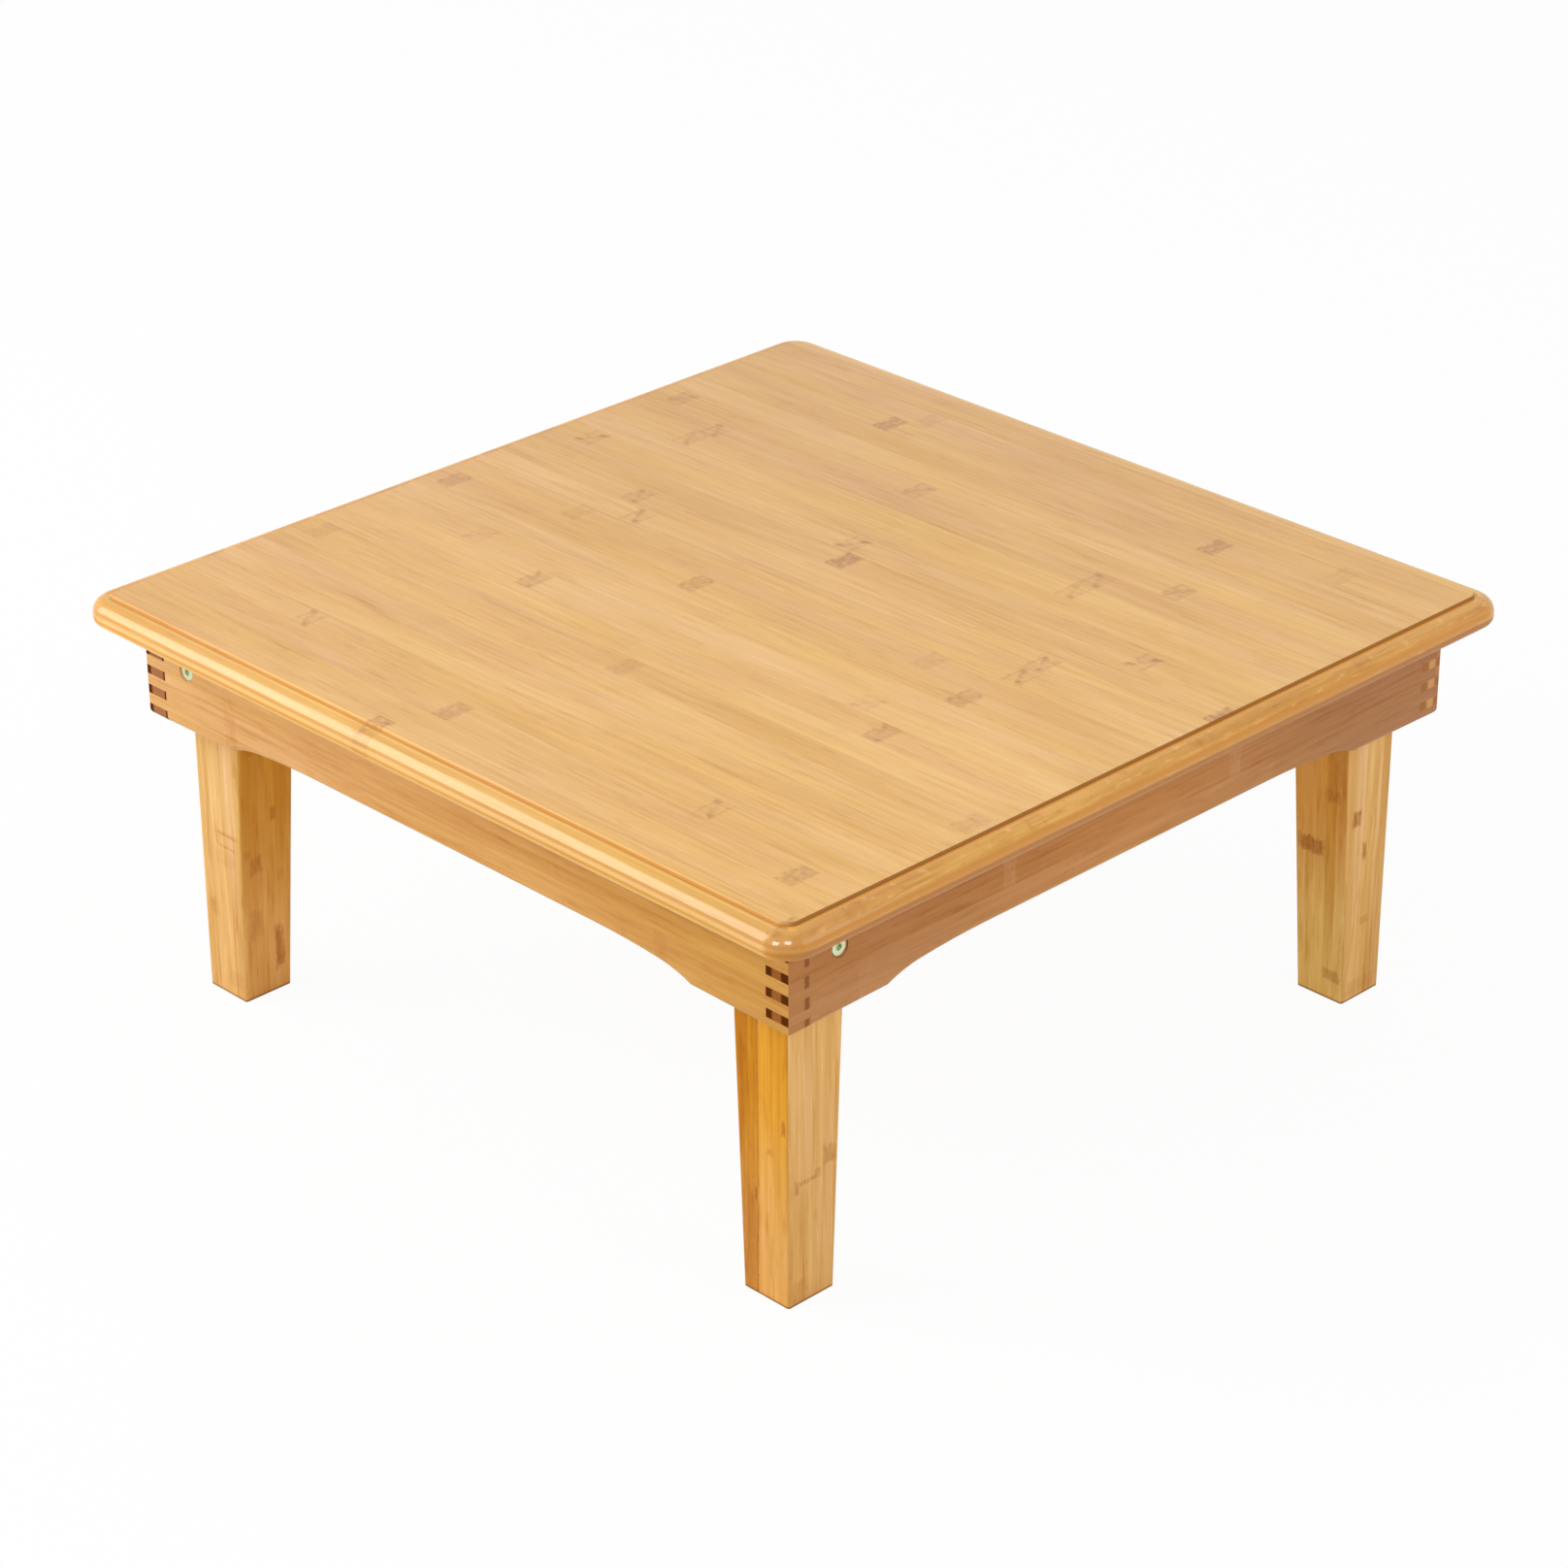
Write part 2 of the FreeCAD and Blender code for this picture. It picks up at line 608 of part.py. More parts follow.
def leg_outline(sketch):
    """The leg seen from outside: an upright stop face on the left, a tapered face on the right, a round top."""
    right = STOP_FACE + size("leg_top_width")
    foot, taper_top = taper(sketch, STOP_FACE + size("leg_foot_width"), right)
    side = open_polygon(sketch, [(right, TAPER_START), (right, PIVOT_HEIGHT)], taper_top, None)
    fix_point(sketch, side[0], side[1], "crown_right", right, PIVOT_HEIGHT)
    start = Vector(right.number, PIVOT_HEIGHT.number, 0)
    end = Vector(STOP_FACE.number, PIVOT_HEIGHT.number, 0)
    crown = sketch.addGeometry(arc_between(start, end, Vector(0, 1, 0)))
    ends = arc_ends(sketch, crown, start)
    sketch.addConstraint(Sketcher.Constraint("Tangent", side[0], side[1], crown, ends[0]))
    fix_point(sketch, crown, ends[1], "crown_left", STOP_FACE, PIVOT_HEIGHT)
    corners = [(STOP_FACE, PIVOT_HEIGHT), (STOP_FACE, ZERO), (STOP_FACE + size("leg_foot_width"), ZERO)]
    open_polygon(sketch, corners, (crown, ends[1]), foot)


def wedge_outline(sketch):
    """What the taper of the leg's back face takes away, seen from the side."""
    foot, taper_top = taper(sketch, LEG_BACK_AT_FLOOR, LEG_BACK)
    outside = LEG_BACK + OVERRUN
    corners = [(LEG_BACK, TAPER_START), (outside, TAPER_START), (outside, -OVERRUN),
               (LEG_BACK_AT_FLOOR, -OVERRUN), (LEG_BACK_AT_FLOOR, ZERO)]
    open_polygon(sketch, corners, taper_top, foot)


def make_leg(doc, number, corner):
    body = new_body(doc, "leg_%s" % corner, number)
    outline = new_sketch(body, "XZ_Plane", (ZERO, ZERO, -LEG_FRONT))
    leg_outline(outline)
    pad(body, outline, size("leg_top_width"), reverse=True)
    wedge = new_sketch(body, "YZ_Plane")
    wedge_outline(wedge)
    tapered = pocket_through(body, wedge)
    # every edge but the level ones, which are the foot's and the seams of the tapers
    arris = size("leg_arris")
    round_edges(body, tapered, arris, lambda edge: edge.BoundBox.ZLength > arris.number)
    cut_leg_bore(body)
    return body, 1


def cut_leg_bore(body):
    """The bolt's bore through the leg, with the nut's counterbore in the back face."""
    shank = size("bolt_radius") + size("bolt_play")
    recess = size("counterbore_radius")
    sketch = sketch_level_axis(body, PIVOT_LINE, PIVOT_HEIGHT)
    start = LEG_FRONT - OVERRUN
    end = LEG_BACK + OVERRUN
    polygon(sketch, [(ZERO, start), (shank, start), (shank, NUT_SEAT), (recess, NUT_SEAT),
                     (recess, end), (ZERO, end)])
    turn(body, sketch, "Groove")


def make_pivot_bolt(doc, number, side):
    """A countersunk bolt with a hexagon socket, from the apron's face through the leg to past its nut."""
    body = new_body(doc, "pivot_bolt_%s" % side, number)
    rim = size("head_radius")
    shank = size("bolt_radius")
    cone_start = HEAD_TOP + size("head_land")
    end = NUT_END + size("bolt_protrusion")
    bevel = size("bolt_tip")
    sketch = sketch_level_axis(body, PIVOT_LINE, PIVOT_HEIGHT)
    polygon(sketch, [(ZERO, HEAD_TOP), (rim, HEAD_TOP), (rim, cone_start), (shank, cone_start + HEAD_CONE),
                     (shank, end - bevel), (shank - bevel, end), (ZERO, end)])
    turn(body, sketch, "Revolution")
    socket = new_sketch(body, "XZ_Plane", (PIVOT_LINE, PIVOT_HEIGHT, -HEAD_TOP))
    hexagon(socket, size("socket_width"))
    pocket_blind(body, socket, size("socket_depth"))
    return body, 1


def make_washer(doc, label, number, start, thickness, radius):
    body = new_body(doc, label, number)
    sketch = sketch_level_axis(body, PIVOT_LINE, PIVOT_HEIGHT)
    bore = size("bolt_radius") + size("bolt_play")
    rectangle(sketch, bore, radius, start, start + thickness)
    turn(body, sketch, "Revolution")
    return body, 1


def make_friction_washer(doc, number, side):
    start = APRON_BACK + size("face_gap")
    return make_washer(doc, "friction_washer_%s" % side, number, start,
                       size("friction_washer_thickness"), size("friction_washer_radius"))


def make_nut_washer(doc, number, side):
    start = NUT_SEAT + size("face_gap")
    return make_washer(doc, "nut_washer_%s" % side, number, start,
                       size("nut_washer_thickness"), size("nut_washer_radius"))


def make_lock_nut(doc, number, side):
    """A hexagon nut with a round locking collar."""
    body = new_body(doc, "lock_nut_%s" % side, number)
    hexagon_height = size("nut_height") - size("nut_collar_height")
    blank = new_sketch(body, "XZ_Plane", (PIVOT_LINE, PIVOT_HEIGHT, -NUT_START))
    hexagon(blank, size("nut_width"))
    pad(body, blank, hexagon_height, reverse=True)
    collar = new_sketch(body, "XZ_Plane", (PIVOT_LINE, PIVOT_HEIGHT, -(NUT_START + hexagon_height)))
    circle(collar, size("nut_collar_radius"))
    pad(body, collar, size("nut_collar_height"), reverse=True)
    bore = new_sketch(body, "XZ_Plane", (PIVOT_LINE, PIVOT_HEIGHT, -NUT_START))
    circle(bore, size("bolt_radius") + size("bolt_play"))
    pocket_through(body, bore)
    return body, 1


def make_cleat(doc, number, side):
    """A square strip in the angle under the top, with countersunk holes for its four screws."""
    body = new_body(doc, "cleat_%s" % side, number)
    section = new_sketch(body, "YZ_Plane", (ZERO, ZERO, CLEAT_START))
    rectangle(section, APRON_BACK, CLEAT_BACK, CLEAT_BOTTOM, UNDERSIDE)
    strip = pad(body, section, CLEAT_END - CLEAT_START)
    bevel_edges(body, strip, size("cleat_arris"),
                lambda edge: lies_in_plane(edge, CLEAT_BACK) and lies_at_height(edge, CLEAT_BOTTOM))
    for across in top_screw_places():
        sketch = sketch_upright_axis(body, across)
        screw_hole_outline(sketch, CLEAT_BOTTOM, 1)
        turn(body, sketch, "Groove")
    for across in side_screw_places():
        sketch = sketch_level_axis(body, across, UNDERSIDE - size("cleat_width") / 2)
        screw_hole_outline(sketch, CLEAT_BACK, -1)
        turn(body, sketch, "Groove")
    return body, 1


def make_cleat_top_screws(doc):
    """The screws that go up through the cleats into the top: separate solids in one group."""
    body = new_body(doc, "cleat_top_screws")
    body.AllowCompound = True
    screws = []
    for across in top_screw_places():
        sketch = sketch_upright_axis(body, across)
        screw_outline(sketch, CLEAT_BOTTOM, 1)
        screws.append(turn(body, sketch, "Revolution"))
    repeat_on_sides(body, screws)
    return body, len(screws) * len(SIDES)


def make_cleat_side_screws(doc):
    """The screws that go through the cleats into the aprons: separate solids in one group."""
    body = new_body(doc, "cleat_side_screws")
    body.AllowCompound = True
    screws = []
    for across in side_screw_places():
        sketch = sketch_level_axis(body, across, UNDERSIDE - size("cleat_width") / 2)
        screw_outline(sketch, CLEAT_BACK, -1)
        screws.append(turn(body, sketch, "Revolution"))
    repeat_on_sides(body, screws)
    return body, len(screws) * len(SIDES)


def build(doc):
    """Every sub-part, with the number of solids that it should have."""
    made = [make_tabletop(doc)]
    for number, side in enumerate(SIDES):
        made.append(make_apron(doc, number, side))
        made.append(make_leg(doc, number, LEG_CORNERS[number]))
        made.append(make_pivot_bolt(doc, number, side))
        made.append(make_friction_washer(doc, number, side))
        made.append(make_nut_washer(doc, number, side))
        made.append(make_lock_nut(doc, number, side))
        made.append(make_cleat(doc, number, side))
    made.append(make_cleat_top_screws(doc))
    made.append(make_cleat_side_screws(doc))
    return made


def check_features(body):
    """Each cut must take material away, and each addition must add some."""
    volume = 0.0
    for feature in body.Group:
        if not feature.isDerivedFrom("PartDesign::Feature"):
            continue
        now = feature.Shape.Volume
        if feature.isDerivedFrom("PartDesign::Pocket") or feature.isDerivedFrom("PartDesign::Groove"):
            assert now < volume, "%s cuts nothing" % feature.Name
        if feature.isDerivedFrom("PartDesign::Pad") or feature.isDerivedFrom("PartDesign::Revolution"):
            assert now > volume, "%s adds nothing" % feature.Name
        volume = now


def check(doc, made):
    for thing in doc.Objects:
        assert "Invalid" not in thing.State and "Error" not in thing.State, "%s failed" % thing.Name
    for body, solids in made:
        shape = body.Shape
        assert not shape.isNull() and shape.isValid(), "%s has no valid shape" % body.Label
        assert len(shape.Solids) == solids, "%s has %d solids" % (body.Label, len(shape.Solids))
        check_features(body)


def main():
    doc = FreeCAD.newDocument("folding_low_table")
    fill_sheet(doc)
    made = build(doc)
    doc.recompute()
    check(doc, made)
    os.makedirs("parts", exist_ok=True)
    for body, solids in made:
        body.Shape.exportStep("parts/%s.step" % body.Label)
    bolt = NUT_END + size("bolt_protrusion") - HEAD_TOP
    print("%d sub-parts, pivot bolt %.2f long" % (len(made), bolt.number))


main()
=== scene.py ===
import math

import bpy
import numpy as np
from bpy.props import FloatProperty, FloatVectorProperty, PointerProperty
from mathutils import Matrix, Vector


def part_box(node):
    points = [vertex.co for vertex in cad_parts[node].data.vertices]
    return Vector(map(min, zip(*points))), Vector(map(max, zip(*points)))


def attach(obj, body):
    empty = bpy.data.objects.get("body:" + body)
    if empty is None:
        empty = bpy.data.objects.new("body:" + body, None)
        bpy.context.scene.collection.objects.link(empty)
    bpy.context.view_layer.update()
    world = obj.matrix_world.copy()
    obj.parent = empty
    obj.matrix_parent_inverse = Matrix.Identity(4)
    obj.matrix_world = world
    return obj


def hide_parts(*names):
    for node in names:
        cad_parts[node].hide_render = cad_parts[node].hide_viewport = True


bl_info = {
    "name": "Folding Low Table",
    "version": (1, 0, 0),
    "blender": (4, 5, 0),
    "location": "3D View > Sidebar > Low Table",
    "description": "Dresses the folding low table's frame in lacquered bamboo and plated steel",
    "category": "Object",
}

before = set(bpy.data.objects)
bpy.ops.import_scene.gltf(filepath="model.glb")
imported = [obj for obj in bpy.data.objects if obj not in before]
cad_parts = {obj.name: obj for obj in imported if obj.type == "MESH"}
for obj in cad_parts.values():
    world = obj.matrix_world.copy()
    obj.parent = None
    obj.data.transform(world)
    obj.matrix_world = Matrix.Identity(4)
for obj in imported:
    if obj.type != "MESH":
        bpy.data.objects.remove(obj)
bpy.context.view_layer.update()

SIDES = ("front", "right", "back", "left")
LEG_CORNERS = ("front_left", "front_right", "back_right", "back_left")
PHOTO_SIDE = 1616
SENSOR_WIDTH = 36.0
# The lamps' places, the points that they face, and their two sides, in metres.
MAIN_LAMP = ((-1.8, -1.8, 1.6), (0.0, 0.0, 0.15), (2.1, 2.1))
SECOND_LAMP = ((2.4, 0.6, 1.3), (0.0, 0.0, 0.15), (1.6, 1.6))
# The small lamps face the top's near corner from these directions.
NEAR_CORNER = (0.29, -0.29, 0.26)
SMALL_LAMPS = {"left_small_lamp": (0.077, -0.904, 0.421), "right_small_lamp": (0.546, -0.552, 0.630)}
SMALL_LAMP_DISTANCE = 2.6
SMALL_LAMP_SIZE = (0.7, 1.0)


def shade(red, green, blue):
    """A colour given in plain 0 to 255 steps, as the linear values that shaders use.

    This is the usual curve of screens: a straight foot, then a power of 2.4.
    """
    steps = np.array([red, green, blue]) / 255.0
    foot, rise = steps / 12.92, ((steps + 0.055) / 1.055) ** 2.4
    return tuple(np.where(steps <= 0.04045, foot, rise).tolist())


# ---- what a user may change ----

def length(name, description, default):
    return FloatProperty(name=name, description=description, default=default, unit="LENGTH")


def angle(name, description, degrees):
    return FloatProperty(name=name, description=description, subtype="ANGLE",
                         default=math.radians(degrees))


def power(name, description, default):
    return FloatProperty(name=name, description=description, default=default, unit="POWER")


def share(name, description, default):
    return FloatProperty(name=name, description=description, default=default, min=0, max=1)


def swatch(name, description, color):
    return FloatVectorProperty(name=name, description=description, default=color, subtype="COLOR",
                               min=0, max=1)


class TopShape(bpy.types.PropertyGroup):
    thickness: length("Thickness", "Whole thickness of the top", 0.018)
    corner_radius: length("Corner radius", "Corner seen from above", 0.020)
    step_inset: length("Step inset", "From the edge to the raised field", 0.012)
    step_height: length("Step height", "Height of the raised field", 0.002)
    upper_round: length("Upper round", "Round-over above", 0.0085)
    lower_round: length("Lower round", "Round-over below", 0.0055)
    arris: length("Arris", "Eased arris of the raised field", 0.0012)
    groove_round: length("Groove round", "Lacquer fillet at the foot of the step", 0.0003)


class BambooLook(bpy.types.PropertyGroup):
    top_color: swatch("Top", "Strips of the top's field", shade(232, 180, 102))
    edge_color: swatch("Top's long edges", "Front and back round-over", shade(234, 178, 88))
    edge_end_color: swatch("Top's end edges", "Left and right round-over", shade(235, 170, 75))
    # painted highlight: the lit arris, a middle band and the lower round of the front and back edge take
    # this colour
    painted_highlight_color: swatch("Step", "Step's riser at the front and back", shade(246, 200, 126))
    # painted shade: the step's riser at the left and right, which faces away from the main lamp
    riser_shade_color: swatch("Painted shade of the step", "Step's riser at the left and right", shade(158, 94, 10))
    top_node_color: swatch("Top's nodes", "Growth nodes of the top", shade(166, 88, 20))
    light_apron_color: swatch("Light apron", "Front and back aprons", shade(208, 151, 78))
    dark_apron_color: swatch("Dark apron", "Right and left aprons", shade(188, 128, 74))
    pale_leg_color: swatch("Pale legs", "Palest faces of the legs", shade(226, 179, 116))
    amber_leg_color: swatch("Amber legs", "Deepest faces of the legs", shade(226, 158, 43))
    cleat_color: swatch("Cleats", "Cleats under the top", shade(222, 163, 84))
    node_color: swatch("Nodes", "Growth nodes of the bamboo", shade(176, 98, 38))
    pale_node_color: swatch("Pale nodes", "Growth nodes of the dark aprons", shade(214, 160, 110))
    burnt_color: swatch("End grain", "Sawn ends of the fingers", shade(122, 72, 40))
    # real glue lines, and also painted shade at the foot of the step at the front and back
    glue_line_and_shade_color: swatch("Glue lines", "Glue lines and the foot of the step", shade(186, 112, 16))
    top_coat: share("Top's lacquer", "Share of clear lacquer on the top", 0.7)
    frame_coat: share("Frame's lacquer", "Share of clear lacquer on the frame", 0.06)
    strip_width: length("Strip width", "Strips of the top", 0.0215)
    roughness: share("Roughness", "Satin wood under the lacquer", 0.42)
    coat_roughness: share("Lacquer roughness", "Clear lacquer", 0.10)


class HardwareLook(bpy.types.PropertyGroup):
    plating_color: swatch("Plating", "Pale yellow zinc", shade(214, 226, 196))
    screw_color: swatch("Wood screws", "Zinc of the wood screws", shade(205, 196, 160))
    washer_color: swatch("Plastic washers", "Natural nylon", shade(228, 225, 214))


class StageLook(bpy.types.PropertyGroup):
    floor_color: swatch("Floor", "Pale floor", (0.92, 0.92, 0.92))
    white_share: share("White share", "How much of the seen floor is plain white", 0.95)
    floor_size: length("Floor size", "Side of the floor", 24.0)
    sky_strength: share("Surroundings", "Even light from all round", 0.70)
    key_strength: power("Main lamp", "Large soft lamp at the front left", 61.0)
    fill_strength: power("Second lamp", "Large soft lamp at the right", 14.0)
    spark_strength: power("Small lamps", "Each of the two small lamps in front", 36.0)


class ViewLook(bpy.types.PropertyGroup):
    place: FloatVectorProperty(name="Camera", description="Place of the camera", subtype="TRANSLATION",
                               unit="LENGTH", default=(1.7455, -1.7223, 1.3993))
    azimuth: angle("Azimuth", "Turn from the front", 45.694)
    elevation: angle("Elevation", "Height above level", 27.190)
    roll: angle("Roll", "Tilt of the frame", -0.300)
    focal_pixels: FloatProperty(name="Focal length", description="In pixels of the square frame",
                                default=4692.9)
    centre_pixels: FloatVectorProperty(name="Optical centre", description="In pixels of the square frame",
                                       size=2, default=(794.4, 807.1))


class LowTable(bpy.types.PropertyGroup):
    top: PointerProperty(type=TopShape, name="Top", description="Shape of the top")
    bamboo: PointerProperty(type=BambooLook, name="Bamboo", description="Colours and gloss of the bamboo")
    hardware: PointerProperty(type=HardwareLook, name="Hardware", description="Colours of the hardware")
    stage: PointerProperty(type=StageLook, name="Stage", description="Floor and lamps")
    view: PointerProperty(type=ViewLook, name="View", description="Camera")


# ---- shader building ----

class Recipe:
    """Builds a material or world node by node; each method returns the socket that holds its result."""

    def __init__(self, owner):
        owner.use_nodes = True
        self.owner = owner
        self.tree = owner.node_tree
        self.tree.nodes.clear()

    def node(self, kind, **settings):
        made = self.tree.nodes.new(kind)
        for key, value in settings.items():
            setattr(made, key, value)
        return made

    def feed(self, socket, value):
        """Links a socket, or sets a plain value."""
        if isinstance(value, bpy.types.NodeSocket):
            self.tree.links.new(value, socket)
        elif socket.type == "RGBA":
            socket.default_value = (*value[:3], 1.0)
        else:
            socket.default_value = value

    def wire(self, made, *values):
        """Feeds a node's sockets in their order."""
        for socket, value in zip(made.inputs, values):
            self.feed(socket, value)
        return made

    def math(self, operation, *values):
        return self.wire(self.node("ShaderNodeMath", operation=operation), *values).outputs[0]

    def add(self, a, b):
        return self.math("ADD", a, b)

    def take(self, a, b):
        return self.math("SUBTRACT", a, b)

    def times(self, a, b):
        return self.math("MULTIPLY", a, b)

    def over(self, a, b):
        return self.math("DIVIDE", a, b)

    def larger(self, a, b):
        return self.math("MAXIMUM", a, b)

    def size(self, a):
        """A number without its sign."""
        return self.math("ABSOLUTE", a)

    def rest(self, share):
        """What a share leaves of one."""
        return self.take(1.0, share)

    def join(self, x, y, z=0.0):
        return self.wire(self.node("ShaderNodeCombineXYZ"), x, y, z).outputs[0]

    def split(self, vector):
        return self.wire(self.node("ShaderNodeSeparateXYZ"), vector).outputs

    def noise(self, vector, scale, detail, roughness):
        made = self.node("ShaderNodeTexNoise", noise_dimensions="3D")
        for key, value in (("Vector", vector), ("Scale", scale), ("Detail", detail),
                           ("Roughness", roughness)):
            self.feed(made.inputs[key], value)
        return made.outputs[0]

    def chance(self, number, salt):
        """An even random number from 0 to 1 that stays the same for the same input."""
        made = self.node("ShaderNodeTexWhiteNoise", noise_dimensions="2D")
        self.feed(made.inputs["Vector"], self.join(number, salt))
        return made.outputs["Value"]

    def fade(self, value, low, high, start=0.0, end=1.0):
        """Smoothly from start, where value is low, to end, where it is high."""
        made = self.node("ShaderNodeMapRange", interpolation_type="SMOOTHSTEP")
        return self.wire(made, value, low, high, start, end).outputs[0]

    def band(self, value, low, high, soft, strength=1.0):
        """Strength where value lies between low and high, fading to nothing over the soft length."""
        rising = self.fade(value, low - soft, low + soft)
        return self.times(rising, self.fade(value, high - soft, high + soft, strength, 0.0))

    def blend(self, share, first, second, mode="MIX"):
        """From the first colour to the second; the node keeps its colours in sockets 6 and 7."""
        made = self.node("ShaderNodeMix", data_type="RGBA", blend_type=mode)
        self.feed(made.inputs[0], share)
        self.feed(made.inputs[6], first)
        self.feed(made.inputs[7], second)
        return made.outputs[2]

    def table(self, rows, index):
        """Reads one row of a short table of four numbers, each from 0 to 1, by its whole-number index."""
        made = self.node("ShaderNodeValToRGB")
        ramp = made.color_ramp
        ramp.interpolation = "CONSTANT"
        while len(ramp.elements) < len(rows):
            ramp.elements.new(1.0)
        for number, (element, row) in enumerate(zip(ramp.elements, rows)):
            element.position = number / len(rows)
            element.color = row
        self.wire(made, self.over(self.add(index, 0.5), float(len(rows))))
        parts = self.wire(self.node("ShaderNodeSeparateColor"), made.outputs[0])
        return (*parts.outputs[:3], made.outputs[1])

    def coordinates(self, kind):
        return self.node("ShaderNodeTexCoord").outputs[kind]

    def place(self):
        return self.split(self.coordinates("Object"))

    def facing(self):
        """Which way the surface faces on the piece itself, so that it stays when the piece turns."""
        return self.split(self.coordinates("Normal"))

    def seen(self):
        """One for straight, mirrored and transmitted views, nought for the light that falls on things."""
        path = self.node("ShaderNodeLightPath").outputs
        indirect = self.larger(path["Is Glossy Ray"], path["Is Transmission Ray"])
        return self.larger(path["Is Camera Ray"], indirect)

    def close(self, shader, kind="ShaderNodeOutputMaterial"):
        self.wire(self.node(kind), shader)
        return self.owner

    def finish(self, color, roughness, bump, bump_depth, **others):
        """The surface itself. Values that are the same all over go straight on the shader's sockets."""
        relief = self.node("ShaderNodeBump")
        self.feed(relief.inputs["Strength"], 1.0)
        self.feed(relief.inputs["Distance"], bump_depth)
        self.feed(relief.inputs["Height"], bump)
        others.update(base_color=color, roughness=roughness, normal=relief.outputs[0])
        skin = self.node("ShaderNodeBsdfPrincipled")
        for key, value in others.items():
            self.feed(skin.inputs[key.replace("_", " ").title().replace("Ior", "IOR")], value)
        return self.close(skin.outputs[0])


# ---- bamboo ----

# Each strip of the top from the front edge to the back: where a growth node crosses it, the spacing to
# the next one, and how strongly the node shows. Lengths in metres along X.
TOP_STRIPS = (
    (-0.041, 0.33, 1.0), (-0.055, 0.33, 0.1), (-0.023, 0.275, 0.55), (0.167, 0.343, 0.7),
    (0.06, 0.31, 0.08), (-0.12, 0.3, 0.1), (-0.06, 0.34, 0.08), (0.276, 0.272, 0.35),
    (-0.02, 0.32, 0.1), (0.167, 0.29, 0.7), (0.135, 0.33, 0.45), (-0.01, 0.34, 0.12),
    (0.169, 0.2195, 0.75), (0.122, 0.3, 0.3), (0.173, 0.32, 0.9), (0.17, 0.34, 0.8),
    (-0.011, 0.299, 0.9), (0.21, 0.2345, 0.9), (-0.008, 0.34, 0.12), (0.116, 0.33, 0.65),
    (0.116, 0.327, 0.7), (0.161, 0.2135, 0.65), (0.21, 0.34, 0.06), (0.14, 0.33, 0.1),
    (0.134, 0.274, 0.7), (-0.125, 0.34, 0.3), (0.137, 0.217, 0.08), (-0.16, 0.3, 0.1),
)
TOP_STRIPS_START = -0.2995
# The aprons' strips from the lowest up, along X or Y, with their tones.
FRONT_STRIPS = ((-0.195, 0.37, 0.6, 0.46), (0.09, 0.285, 0.4, 0.6), (0.05, 0.3, 0.3, 0.5))
RIGHT_STRIPS = ((-0.215, 0.165, 0.6, 0.66), (-0.103, 0.189, 0.9, 0.16), (0.0, 0.3, 0.3, 0.5))
APRON_STRIP_WIDTH = 0.0261
# The tones of the legs' strips: six across the front and back faces, then six across the sides.
LEG_TONES = {
    "front_left": (0.54, 0.5, 0.48, 0.5, 0.47, 0.44, 0.52, 0.44, 0.48, 0.54, 0.5, 0.46),
    "front_right": (0.2, 0.1, 0.16, 0.58, 0.52, 0.54, 0.52, 0.52, 0.48, 0.5, 0.48, 0.46),
    "back_right": (0.52, 0.56, 0.54, 0.5, 0.4, 0.48, 0.54, 0.47, 0.56, 0.6, 0.46, 0.44),
    "back_left": (0.56, 0.45, 0.58, 0.52, 0.5, 0.54, 0.56, 0.44, 0.54, 0.5, 0.58, 0.52),
}
# Each leg's depth of colour, from pale to amber, and its lightness: the top and the foot of its front and
# back faces, then the top and the foot of its sides. The lightness is partly painted light that makes up
# for how light falls, as on the back right leg's front and back faces, painted lighter towards the foot.
LEG_DEPTH_AND_PAINTED_LIGHT = {
    "front_left": ((0.0, 0.97), (0.2, 0.93), (0.85, 0.97), (0.35, 1.13)),
    "front_right": ((1.0, 0.95), (0.5, 1.01), (0.1, 1.14), (0.3, 1.04)),
    "back_right": ((0.65, 1.06), (0.3, 1.64), (0.15, 1.11), (0.25, 1.05)),
    "back_left": ((0.5, 1.02), (0.4, 1.05), (0.4, 1.05), (0.5, 1.02)),
}
